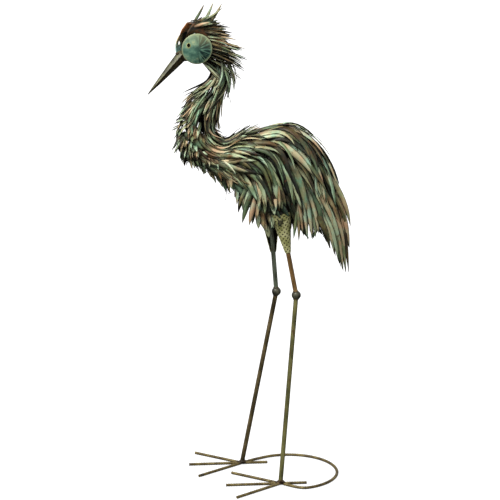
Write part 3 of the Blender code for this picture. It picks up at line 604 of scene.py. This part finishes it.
makeRows("neckStrips", plumage["neck"], 0.14, (0.0, 0.75), (-0.05, 1.0))
makeRows("breastStrips", plumage["breast"], 0.12, (0.0, 0.7), (0.0, 0.9), middle=math.pi)
makeRows("bodyStrips", plumage["body"], 0.15, (0.0, 0.7), (-0.08, 1.15), curl=0.014)
hangStrips("tailStrips", hang["tail"])
hangStrips("fringeStrips", hang["spears"])
print("plumage rows ready")


# head strips and crest: a fan behind the cheeks, given in millimetres in the bird's own plane

crest = {
    "roots": ((-99, 892), (-88, 892), (-80, 882), (-78, 868), (-76, 856), (-78, 842), (-82, 830), (-80, 826)),
    "tips": ((-66, 912), (-46, 898), (-28, 873), (-12, 847), (-3, 829), (-13, 801), (-30, 774), (-58, 784)),
    "number": 160, "spread": 0.019, "rootSpread": 0.8, "tipSpread": 0.9, "tucked": 0.010, "width": 0.0052,
    "widths": (0.7, 1.25), "arch": 0.006, "stray": 0.006, "leastReach": 0.5, "reach": 0.96, "lowReach": 0.12,
    # crown angle, share across, tip x, y, z, width
    "tall": ((90, -0.25, -87, -6, 934, 0.0054), (114, 0.20, -69, 4, 937, 0.0056),
             (130, -0.05, -54, -6, 935, 0.0060), (104, 0.10, -53, -4, 927, 0.0050),
             (98, -0.4, -75, -10, 917, 0.0050), (112, -0.4, -60, -12, 906, 0.0050),
             (119, 0.35, -54, 9, 899, 0.0050), (128, -0.2, -45, -4, 887, 0.0050)),
    "tallSag": -0.05, "tallFacing": (-0.4, -1, 0.3),
    # short strips laid over the crown plate: first angle, then how many degrees on
    "overCrown": 18, "overWidth": 0.0048, "overFrom": (74, 112), "overLong": (28, 46), "overMiddle": 18,
    "overHeights": (0.0006, 0.003, 0.005)}


def headAxes():
    forward = Vector((-math.cos(head["yaw"]), -math.sin(head["yaw"]), 0))
    return forward, up.cross(forward)


def crownPoint(degrees, across, above):
    # on the crown, from its front up over the top; it narrows towards its front and back
    forward, left = headAxes()
    turn = math.radians(degrees)
    centre = head["centre"] + forward * head["crownAhead"] + up * head["crownAbove"]
    outward = forward * math.cos(turn) + up * math.sin(turn)
    half = head["crownWidth"] / 2 * (head["crownNarrow"] + (1 - head["crownNarrow"]) * math.sin(turn))
    return centre + outward * (head["crownRadius"] + above) + left * half * across


def between(values, share):
    spot = share * (len(values) - 1)
    index = min(int(spot), len(values) - 2)
    x, z = Vector(values[index]).lerp(Vector(values[index + 1]), spot - index)
    return Vector((x / 1000, 0, z / 1000))


def addArched(bm, start, end, sag, outward, width, twist, warm, pale):
    # a strip from root to tip that bulges by the sag in its middle
    last = stripBlank["stations"] - 1
    points = [start.lerp(end, t) + sag * 4 * t * (1 - t) for t in (k / last for k in range(last + 1))]
    addStrip(bm, points, [outward] * (last + 1), width, twist, warm, pale)


def makeHeadStrips():
    bm = newStripMesh()
    stray = crest["stray"]
    for k in range(crest["number"]):
        share = min(max((k + rng.uniform(-0.5, 0.5)) / crest["number"], 0.0), 1.0)
        aside = rng.uniform(-1, 1)
        start = between(crest["roots"], share)
        start += Vector((-crest["tucked"], aside * crest["spread"] * crest["rootSpread"], 0))
        reach = rng.uniform(crest["leastReach"], crest["reach"] + crest["lowReach"] * share)
        end = start.lerp(between(crest["tips"], share), reach)
        end += Vector((0, aside * crest["spread"] * crest["tipSpread"], 0))
        end += Vector((rng.uniform(-stray, stray / 3), rng.uniform(-stray, stray),
                       rng.uniform(-stray, stray)))
        outward = Vector((0.3, aside, 0.5)).normalized()
        addArched(bm, start, end, outward * rng.uniform(0.0, crest["arch"]), outward,
                  crest["width"] * rng.uniform(*crest["widths"]), rng.uniform(-0.6, 0.6),
                  rng.uniform(0.25, 1.0), rng.uniform(0.0, 0.8))
    finishStrips("headStrips", bm)


def makeCrest():
    # tall strips standing on the crown, and short ones laid over it
    bm = newStripMesh()
    facing = Vector(crest["tallFacing"]).normalized()
    for degrees, across, x, y, z, width in crest["tall"]:
        start, end = crownPoint(degrees, across, -0.001), Vector((x, y, z)) / 1000
        addArched(bm, start, end, up * crest["tallSag"] * (end - start).length, facing, width,
                  rng.uniform(-0.3, 0.3), rng.uniform(0.3, 0.7), rng.uniform(0.3, 0.6))
    low, middling, high = crest["overHeights"]
    for _ in range(crest["overCrown"]):
        across, begin = rng.uniform(-0.9, 0.9), rng.uniform(*crest["overFrom"])
        start = crownPoint(begin, across, low)
        end = crownPoint(begin + rng.uniform(*crest["overLong"]), across, high)
        middle = crownPoint(begin + crest["overMiddle"], across, middling)
        sag = (middle - (start + end) / 2) * 0.9
        addArched(bm, start, end, sag, (middle - head["centre"]).normalized(), crest["overWidth"],
                  rng.uniform(-0.4, 0.4), rng.uniform(0.3, 0.9), rng.uniform(0.1, 0.8))
    finishStrips("crestStrips", bm)


# the plate's arch in degrees from the nape forward, longer at its sides, and the cheeks' rims
crown = {"columns": 8, "rows": 14, "nape": 158, "arch": 83, "sideArch": 33, "topShare": 0.8,
         "above": -0.0010, "rimAside": 0.0215, "rimRadius": 0.0290}


def makeCrown():
    # one plate bent over the crown, its sides brought down to the rims of the cheeks
    bm = newStripMesh()
    made = bmesh.ops.create_grid(bm, x_segments=crown["columns"], y_segments=crown["rows"], size=1.0,
                                 calc_uvs=True)["verts"]
    forward, left = headAxes()
    for vert in made:
        across, side = vert.co.x, 1 if vert.co.x < 0 else -1
        down = max(0.0, abs(across) * 2 - 1)
        degrees = crown["nape"] - (crown["arch"] + crown["sideArch"] * down) * (vert.co.y + 1) / 2
        turn = math.radians(degrees)
        top = crownPoint(degrees, min(max(-across * 2, -1), 1) * crown["topShare"], crown["above"])
        ahead = Matrix.Rotation(-side * head["toeIn"], 3, "Z") @ forward
        rim = head["centre"] + left * side * crown["rimAside"]
        rim += (ahead * math.cos(turn) + up * math.sin(turn)) * crown["rimRadius"]
        vert.co = top.lerp(rim, down)
    faceUp(bm)
    # its underside takes the inner cheek paint with its painted light and shade
    finishStrips("crownPlate", bm, crownSkin, cheekInner)


makeHeadStrips()
makeCrest()
makeCrown()
print("head strips ready")


# cheeks

cheek = {"radius": 0.0285, "dome": 0.007, "sheet": 0.0015, "apart": 0.046, "rings": 12, "segments": 64,
         "eyeAhead": 0.0159, "eyeAbove": 0.0070, "eyeHeight": 0.008, "eyeWidth": 0.006, "punch": 0.03,
         "lip": 0.0006, "lipScale": 0.56, "lipSteps": 24}


def domeHeight(share):
    return cheek["dome"] * (1 - share ** 2) + cheek["sheet"]


def pressedDisc():
    # a dome spun from its profile, with its wall
    bm = bmesh.new()
    rings = cheek["rings"]
    line = [bm.verts.new((cheek["radius"] * k / rings, 0, domeHeight(k / rings))) for k in range(rings + 1)]
    for first, second in zip(line, line[1:]):
        bm.edges.new((first, second))
    bmesh.ops.spin(bm, geom=line + list(bm.edges), cent=(0, 0, 0), axis=(0, 0, 1), dvec=(0, 0, 0),
                   angle=2 * math.pi, steps=cheek["segments"], use_merge=True)
    bmesh.ops.remove_doubles(bm, verts=bm.verts, dist=1e-6)
    faceUp(bm)
    bmesh.ops.solidify(bm, geom=list(bm.faces), thickness=cheek["sheet"])
    return bm


def punchEye(disc, eyeFrame):
    cutter = bmesh.new()
    bmesh.ops.create_cone(cutter, segments=24, radius1=0.5, radius2=0.5, depth=1.0, cap_ends=True)
    size = Matrix.Diagonal((cheek["eyeWidth"], cheek["eyeHeight"], cheek["punch"], 1))
    bmesh.ops.transform(cutter, matrix=eyeFrame @ size, verts=cutter.verts)
    punch = addObject("eyePunch", cutter)
    cut = disc.modifiers.new("Boolean", "BOOLEAN")
    cut.object, cut.operation, cut.solver = punch, "DIFFERENCE", "EXACT"
    graph = bpy.context.evaluated_depsgraph_get()
    punched = bpy.data.meshes.new_from_object(disc.evaluated_get(graph))
    disc.modifiers.clear()
    disc.data = punched
    bpy.data.objects.remove(punch)


def paintSides(disc, place, side, outward):
    # the second material, with its painted light and shade, on the hollow side, and a map with the disc's rim
    # at 1
    bm = bmesh.new()
    bm.from_mesh(disc.data)
    layer = bm.loops.layers.uv.new("UVMap")
    back = place.inverted()
    for face in bm.faces:
        face.material_index = 1 if face.normal.dot(outward) < -0.3 else 0
        for loop in face.loops:
            local = back @ loop.vert.co
            loop[layer].uv = (local.x / cheek["radius"], local.y * side / cheek["radius"])
    bm.to_mesh(disc.data)
    bm.free()


def makeCheek(label, side):
    forward, left = headAxes()
    turn = Matrix.Rotation(-side * head["toeIn"], 3, "Z")
    outward, ahead = turn @ (left * side), turn @ forward
    centre = head["centre"] + left * side * cheek["apart"] / 2
    place = axesAt(centre, ahead, outward.cross(ahead), outward)
    bm = pressedDisc()
    bmesh.ops.transform(bm, matrix=place, verts=bm.verts)
    disc = finishPiece(f"{label}CheekDisc", bm, [cheekSkin, cheekInner], f"{label}_cheek", 40)
    eye = centre + ahead * cheek["eyeAhead"] + up * cheek["eyeAbove"]
    punchEye(disc, Matrix.Translation(eye) @ place.to_3x3().to_4x4())
    paintSides(disc, place, side, outward)
    # the raised lip of the punched eye
    bm = bmesh.new()
    path = []
    for k in range(cheek["lipSteps"] + 1):
        t = 2 * math.pi * k / cheek["lipSteps"]
        x = cheek["eyeWidth"] * cheek["lipScale"] * math.cos(t)
        y = cheek["eyeHeight"] * cheek["lipScale"] * math.sin(t)
        height = domeHeight(math.hypot(x + cheek["eyeAhead"], y + cheek["eyeAbove"]) / cheek["radius"])
        path.append(eye + ahead * x + up * y + outward * height)
    sweep(bm, path, [cheek["lip"]] * len(path), 8)
    finishPiece(f"{label}EyeLip", bm, [thighSkin], f"{label}_cheek", 60, recalc=True)


makeCheek("left", 1)
makeCheek("right", -1)
print("cheeks ready")


# beak

beak = {"length": 0.096, "depth": 0.0245, "width": 0.022, "tang": 0.030, "pitch": math.radians(45),
        "ahead": 0.0225, "above": -0.0155, "foldUp": 0.42, "foldRound": 0.0007,
        # share of the full depth and width: inside the head, at the root, on the way and at the tip
        "tangShare": 0.60, "rootShare": 0.98, "taper": ((0.034, 0.69), (0.070, 0.37)), "tipShare": 0.07,
        # along, above and aside of the root, half sizes, seed
        "welds": ((0.001, 0.0095, 0.0, (0.0045, 0.0055, 0.0022), 3),
                  (-0.003, -0.001, 0.0075, (0.0042, 0.0020, 0.0070), 9)), "weldUneven": 0.35}


def beakAxes(pitch):
    # along the beak and square to it, in the head's middle plane
    forward = headAxes()[0]
    return forward * math.cos(pitch) - up * math.sin(pitch), forward * math.sin(pitch) + up * math.cos(pitch)


def makeBeak():
    # four-sided, as folded from sheet: a square extruded to the tip, its folds rounded
    forward, left = headAxes()
    root = head["centre"] + forward * beak["ahead"] + up * beak["above"]
    run, rise = beakAxes(beak["pitch"])
    tangRun, tangRise = beakAxes(beak["pitch"] / 3)
    stations = [(root - tangRun * beak["tang"], tangRise, beak["tangShare"]),
                (root, (rise + tangRise).normalized(), beak["rootShare"])]
    for along, share in (*beak["taper"], (beak["length"], beak["tipShare"])):
        stations.append((root + run * along, rise, share))
    frames = []
    for centre, high, share in stations:
        wide, tall = left * beak["width"] / 2 * share, high * beak["depth"] / 2 * share
        frames.append(axesAt(centre, wide, tall, wide.cross(tall).normalized() * 0.001))
    bm = bmesh.new()
    loft(bm, 4, frames)
    # the side folds sit above the middle
    for vert in bm.verts:
        centre, high, share = min(stations, key=lambda s: abs((vert.co - s[0]).dot(run)))
        if abs((vert.co - centre).dot(left)) > beak["width"] * share * 0.3:
            vert.co += high * beak["depth"] / 2 * share * beak["foldUp"]
    bmesh.ops.recalc_face_normals(bm, faces=bm.faces)
    folds = [edge for edge in bm.edges if edge.is_manifold and edge.calc_face_angle(0) > 0.6]
    bmesh.ops.bevel(bm, geom=folds, offset=beak["foldRound"], segments=2, profile=0.5, affect="EDGES",
                    material=-1)
    # faces that look up are marked for the olive, as painted light; the rest keep the brown as painted shade
    layer = bm.verts.layers.float.new("pale")
    for face in bm.faces:
        for vert in face.verts:
            vert[layer] = max(vert[layer], 1.0 if face.normal.z > 0.15 else 0.0)
    finishPiece("foldedBeak", bm, [beakSkin], "beak", 30)
    bm = bmesh.new()
    for along, above, aside, radii, seed in beak["welds"]:
        weldBead(bm, root + run * along + rise * above + left * aside, radii, beak["weldUneven"], seed)
    finishPiece("beakWelds", bm, [weldSteel], "beak", 60)


makeBeak()
print("beak ready")


# legs and knees

leg = {"diameter": 0.009, "knee": 0.018, "leftFoot": Vector((0.0539, -0.060, 0.003)),
       "rightFoot": Vector((-0.0121, 0.060, 0.003)), "leftKnee": Vector((0.0870, -0.0230, 0.3747)),
       "rightKnee": Vector((0.0530, 0.0230, 0.3710)), "leftHip": Vector((0.0545, -0.0300, 0.5410)),
       "rightHip": Vector((0.0407, 0.0279, 0.5307)), "reach": 0.0703, "clear": 0.0003, "stations": 14,
       "sides": 20, "intoKnee": 0.008, "aboveToes": 0.0035,
       # the weld beads where the rods enter the ball
       "weldSeat": 0.0078, "weldRing": 0.0046, "weldWave": 0.05, "weldRod": 0.0011, "weldRipple": 0.0003}


def straightRod(name, start, end, paint, node):
    bm = bmesh.new()
    path = [start.lerp(end, k / leg["stations"]) for k in range(leg["stations"] + 1)]
    sweep(bm, path, [leg["diameter"] / 2] * len(path), leg["sides"])
    finishPiece(name, bm, [paint], node, 40, recalc=True)


def makeLeg(label, upperPaint, lowerPaint):
    ankle, knee, hip = leg[label + "Foot"], leg[label + "Knee"], leg[label + "Hip"]
    down, rise = (ankle - knee).normalized(), (hip - knee).normalized()
    straightRod(f"{label}ShankRod", ankle - down * leg["aboveToes"], knee + down * leg["intoKnee"],
                lowerPaint, f"{label}_shank")
    straightRod(f"{label}UpperRod", knee + rise * leg["intoKnee"], hip + rise * leg["reach"],
                upperPaint, f"{label}_upper_leg")
    bm = bmesh.new()
    ball = bmesh.ops.create_uvsphere(bm, u_segments=36, v_segments=18, radius=leg["knee"] / 2)["verts"]
    bmesh.ops.translate(bm, verts=ball, vec=knee)
    finishPiece(f"{label}KneeBall", bm, [kneeSteel], f"{label}_knee", 180)
    bm = bmesh.new()
    steps = 20
    for way, seed in ((down, 1), (rise, 5)):
        seat = lookAlong(knee + way * leg["weldSeat"], way)
        path, radii = [], []
        for k in range(steps + 1):
            t = 2 * math.pi * k / steps
            ring = leg["weldRing"] * (1 + leg["weldWave"] * math.sin(3 * t + seed))
            path.append(seat @ (Vector((math.cos(t), math.sin(t), 0)) * ring))
            radii.append(leg["weldRod"] + leg["weldRipple"] * math.sin(5 * k + seed))
        sweep(bm, path, radii, 8)
    finishPiece(f"{label}KneeWelds", bm, [weldSteel], f"{label}_knee", 60, recalc=True)


makeLeg("left", goldenLeg, oliveLeg)
makeLeg("right", greyLeg, tanLeg)
print("legs ready")


# thighs

thigh = {"length": 0.082, "mouth": 0.041, "sheet": 0.0012, "arc": math.radians(215), "pitch": 0.0066,
         "hole": 0.0030, "dimple": 0.0007, "cells": 22, "margin": 0.012}


def cutAway(bm, point, normal):
    bmesh.ops.bisect_plane(bm, geom=list(bm.verts) + list(bm.edges) + list(bm.faces), plane_co=point,
                           plane_no=normal, clear_outer=True)


def makeThigh(label, side):
    # a flat fan of sheet with punched dimples, rolled into half a cone
    hip, knee = leg[label + "Hip"], leg[label + "Knee"]
    run = (hip - knee).normalized()
    across = Vector((0, -side, 0))
    out = (across - run * across.dot(run)).normalized()
    ahead = run.cross(out)
    low, high = leg["diameter"] / 2 + leg["clear"] + thigh["sheet"], thigh["mouth"] / 2
    slant = math.asin((high - low) / thigh["length"])
    near, far = low / math.sin(slant), high / math.sin(slant)
    halfFan = thigh["arc"] / 2 * math.sin(slant)
    bm = bmesh.new()
    dimpleMark = bm.verts.layers.float.new("dimpleMark")
    bmesh.ops.create_grid(bm, x_segments=thigh["cells"], y_segments=thigh["cells"],
                          size=thigh["cells"] * thigh["pitch"] / 2)
    bmesh.ops.rotate(bm, verts=bm.verts, cent=(0, 0, 0), matrix=Matrix.Rotation(math.radians(45), 3, "Z"))
    bmesh.ops.translate(bm, verts=bm.verts, vec=((near + far) / 2, 0, 0))
    outside = [face for face in bm.faces if not near - thigh["margin"] < face.calc_center_median().length
               < far + thigh["margin"]]
    bmesh.ops.delete(bm, geom=outside, context="FACES")
    edge = (thigh["pitch"] - thigh["hole"]) / 2
    inner = list(bm.faces)
    for part in (0.7, 0.3):
        bmesh.ops.inset_individual(bm, faces=inner, thickness=edge * part)
    for face in inner:
        for vert in face.verts:
            vert[dimpleMark] = 1.0
    for sign in (1, -1):
        cutAway(bm, (0, 0, 0), Vector((-math.sin(halfFan), sign * math.cos(halfFan), 0)))
    bmesh.ops.delete(bm, geom=[v for v in bm.verts if not v.link_faces], context="VERTS")
    # rolled up about the leg
    apex = hip - run * thigh["length"] - run * (near * math.cos(slant))
    for vert in bm.verts:
        reach, angle = vert.co.length, math.atan2(vert.co.y, vert.co.x) / math.sin(slant)
        radial = out * math.cos(angle) + ahead * math.sin(angle)
        depth = thigh["dimple"] * vert[dimpleMark]
        vert.co = apex + run * reach * math.cos(slant) + radial * (reach * math.sin(slant) - depth)
    cutAway(bm, hip, run)
    cutAway(bm, hip - run * thigh["length"], -run)
    middle = hip - run * thigh["length"] / 2 + out * 0.002
    if sum(face.normal.dot(face.calc_center_median() - middle) for face in bm.faces) < 0:
        bmesh.ops.reverse_faces(bm, faces=bm.faces)
    # the inner side takes the near-black back paint, as painted shade
    piece = finishPiece(f"{label}ThighSheet", bm, [thighSkin, stripBack], f"{label}_thigh", 60)
    rounded = piece.modifiers.new("Subdivision", "SUBSURF")
    rounded.levels = rounded.render_levels = 1
    rounded.boundary_smooth = "PRESERVE_CORNERS"
    addWall(piece, thigh["sheet"], 0)


makeThigh("left", 1)
makeThigh("right", -1)


# loose ends of thin wire, and the wire that closes the plumage over the near thigh, in millimetres

wire = {
    "thin": 0.0005, "thick": 0.0009,
    "loose": (((-40, -30, 604), (-46, -32, 592), (-52, -33, 585), (-44, -33, 579), (-35, -32, 584),
               (-34, -31, 592)),
              ((-44, -30, 590), (-49, -32, 578), (-50, -33, 566)),
              ((110, -6, 684), (126, -7, 681), (137, -8, 671)),
              ((-54, -14, 784), (-46, -15, 770), (-40, -16, 757), (-38, -15, 749)),
              ((-72, -20, 728), (-62, -22, 716), (-58, -23, 703)),
              ((-86, -12, 772), (-80, -15, 764), (-86, -17, 757)),
              ((-34, -34, 622), (-28, -36, 610), (-30, -37, 600))),
    "hip": (((28, -34, 542.5), (50, -38, 544.0), (72, -36, 543.2), (92, -30, 542.2)),)}


def makeWires(name, wires, radius, corners):
    bm = bmesh.new()
    for bends in wires:
        path = [Vector(bend) / 1000 for bend in bends]
        sweep(bm, path, [radius] * len(path), corners)
    finishPiece(name, bm, [stripBack], "plumage", 60, recalc=True)


makeWires("looseWires", wire["loose"], wire["thin"], 6)
makeWires("hipWire", wire["hip"], wire["thick"], 8)
print("thighs ready")


# toes and hoop: ribbed rod

foot = {"rod": 0.006, "middle": 0.107, "back": 0.052, "side": 0.112, "sideAngle": math.radians(36),
        "clear": 0.0003, "ribPitch": 0.005, "ribDepth": 0.00045,
        # from the ankle, half sizes, seed
        "welds": ((Vector((-0.002, 0, 0.0012)), (0.0095, 0.0062, 0.0036), 2),
                  (Vector((0.001, -0.001, 0.0045)), (0.0066, 0.0064, 0.0034), 6)), "weldUneven": 0.4,
        "hoopCentre": Vector((0.0788, 0.0038, 0.003)), "hoopDiameter": 0.190, "hoopSteps": 72,
        "hoopFrom": math.radians(118), "hoopTo": math.radians(-70), "hoopLeave": math.radians(38),
        "hoopEndSteps": 8, "hoopEase": 0.4}


def ribbed(path):
    # points every quarter of a rib, high, high, low, low
    lengths = [0.0]
    for first, second in zip(path, path[1:]):
        lengths.append(lengths[-1] + (second - first).length)
    count = max(4, round(lengths[-1] / foot["ribPitch"] * 4))
    points, radii, k = [], [], 0
    for n in range(count + 1):
        want = lengths[-1] * n / count
        while k < len(path) - 2 and lengths[k + 1] < want:
            k += 1
        share = (want - lengths[k]) / (lengths[k + 1] - lengths[k])
        points.append(path[k].lerp(path[k + 1], share))
        radii.append(foot["rod"] / 2 - (foot["ribDepth"] if n % 4 > 1 else 0.0))
    return points, radii


def makeRod(name, path, node):
    bm = bmesh.new()
    points, radii = ribbed(path)
    sweep(bm, points, radii, 12)
    finishPiece(name, bm, [toePaint], node, 50, recalc=True)


def makeFoot(label, side):
    ankle = leg[label + "Foot"]
    front, back = Vector((-foot["middle"], 0, 0)), Vector((foot["back"], 0, 0))
    makeRod(f"{label}LongToeRod", [ankle + front, ankle + back], f"{label}_long_toe")
    for kind, outward in (("outer", 1), ("inner", -1)):
        way = Vector((-math.cos(foot["sideAngle"]), -side * outward * math.sin(foot["sideAngle"]), 0))
        begin = ankle + way * ((foot["rod"] / 2 + foot["clear"]) / math.sin(foot["sideAngle"]))
        makeRod(f"{label}{kind.title()}ToeRod", [begin, ankle + way * foot["side"]], f"{label}_{kind}_toe")
    bm = bmesh.new()
    for offset, radii, seed in foot["welds"]:
        weldBead(bm, ankle + offset, radii, foot["weldUneven"], seed + side)
    finishPiece(f"{label}FootWelds", bm, [weldSteel], f"{label}_long_toe", 60)


def hoopEnd(ankle, side, joint, tangent):
    # leaves the foot beside the toes and eases into the arc
    half, clear = foot["rod"] / 2, foot["clear"]
    besideToe = half / math.sin(foot["sideAngle"]) - (half + clear) / math.tan(foot["sideAngle"])
    behind = besideToe + clear + half / math.sin(foot["hoopLeave"])
    start = ankle + Vector((behind, -side * (half + clear), 0))
    ease = (joint - start).length * foot["hoopEase"]
    leave = start + Vector((math.cos(foot["hoopLeave"]), -side * math.sin(foot["hoopLeave"]), 0)) * ease
    handle = joint + tangent * ease
    steps = foot["hoopEndSteps"]
    return [start * (1 - t) ** 3 + leave * 3 * t * (1 - t) ** 2 + handle * 3 * t * t * (1 - t)
            + joint * t ** 3 for t in (k / steps for k in range(steps + 1))]


def makeHoop():
    arc = []
    for k in range(foot["hoopSteps"] + 1):
        t = foot["hoopFrom"] + (foot["hoopTo"] - foot["hoopFrom"]) * k / foot["hoopSteps"]
        arc.append(foot["hoopCentre"] + foot["hoopDiameter"] / 2 * Vector((math.cos(t), math.sin(t), 0)))
    first = hoopEnd(leg["rightFoot"], -1, arc[0], (arc[0] - arc[1]).normalized())
    last = hoopEnd(leg["leftFoot"], 1, arc[-1], (arc[-1] - arc[-2]).normalized())
    makeRod("hoopRod", first + arc[1:-1] + last[::-1], "base_hoop")


makeFoot("left", 1)
makeFoot("right", -1)
makeHoop()
print("feet ready")


# floor, light and camera

studio = {"floorSize": 40.0, "floor": "#AAAAAA", "floorGlow": "#FFFFFF", "glow": 0.7, "roomLow": 0.10,
          "roomHigh": 0.85, "sun": 2.8, "sunWidth": math.radians(30), "sunTurn": (38, -14, -28),
          "lens": 122.4, "sensor": 36.0, "eye": (-0.2791, -3.181, 1.2274), "eyeTurn": (76.5, 0, -5)}
scene = bpy.context.scene


def addStudio(name, data, turn):
    made = bpy.data.objects.new(name, data)
    made.rotation_euler = Euler(tuple(math.radians(degrees) for degrees in turn))
    scene.collection.objects.link(made)
    return made


def makeFloor():
    bm = bmesh.new()
    bmesh.ops.create_grid(bm, x_segments=1, y_segments=1, size=studio["floorSize"])
    floor = addObject("studioFloor", bm)
    paper = bpy.data.materials.new("whitePaper")                   # matt white background paper
    paper.use_nodes = True
    inputs = paper.node_tree.nodes["Principled BSDF"].inputs
    inputs["Base Color"].default_value = linear(studio["floor"])
    inputs["Roughness"].default_value = 0.9
    inputs["Emission Color"].default_value = linear(studio["floorGlow"])
    inputs["Emission Strength"].default_value = studio["glow"]
    floor.data.materials.append(paper)
    floor.visible_diffuse = floor.visible_glossy = False           # it stays out of the metal's reflections


def makeRoom():
    # a white room above, dark below the table
    scene.world = bpy.data.worlds.new("studio")
    scene.world.use_nodes = True
    tree = scene.world.node_tree
    way = addNode(tree, "TexCoord")
    height = addNode(tree, "SeparateXYZ", {0: way.outputs["Generated"]})
    shade = addNode(tree, "MapRange", {"Value": height.outputs["Z"], "From Min": -0.12, "From Max": 0.02,
                                       "To Min": studio["roomLow"], "To Max": studio["roomHigh"]})
    tree.links.new(shade.outputs[0], tree.nodes["Background"].inputs["Color"])
    key = bpy.data.lights.new("softKey", "SUN")                    # a wide soft box, high on the left
    key.energy, key.angle = studio["sun"], studio["sunWidth"]
    addStudio("softKey", key, studio["sunTurn"])


def makeCamera():
    camera = bpy.data.cameras.new("photoCamera")
    camera.lens, camera.sensor_width = studio["lens"], studio["sensor"]
    scene.camera = addStudio("photoCamera", camera, studio["eyeTurn"])
    scene.camera.location = studio["eye"]
    scene.view_settings.view_transform = "Standard"


makeFloor()
makeRoom()
makeCamera()

print("scene ready")
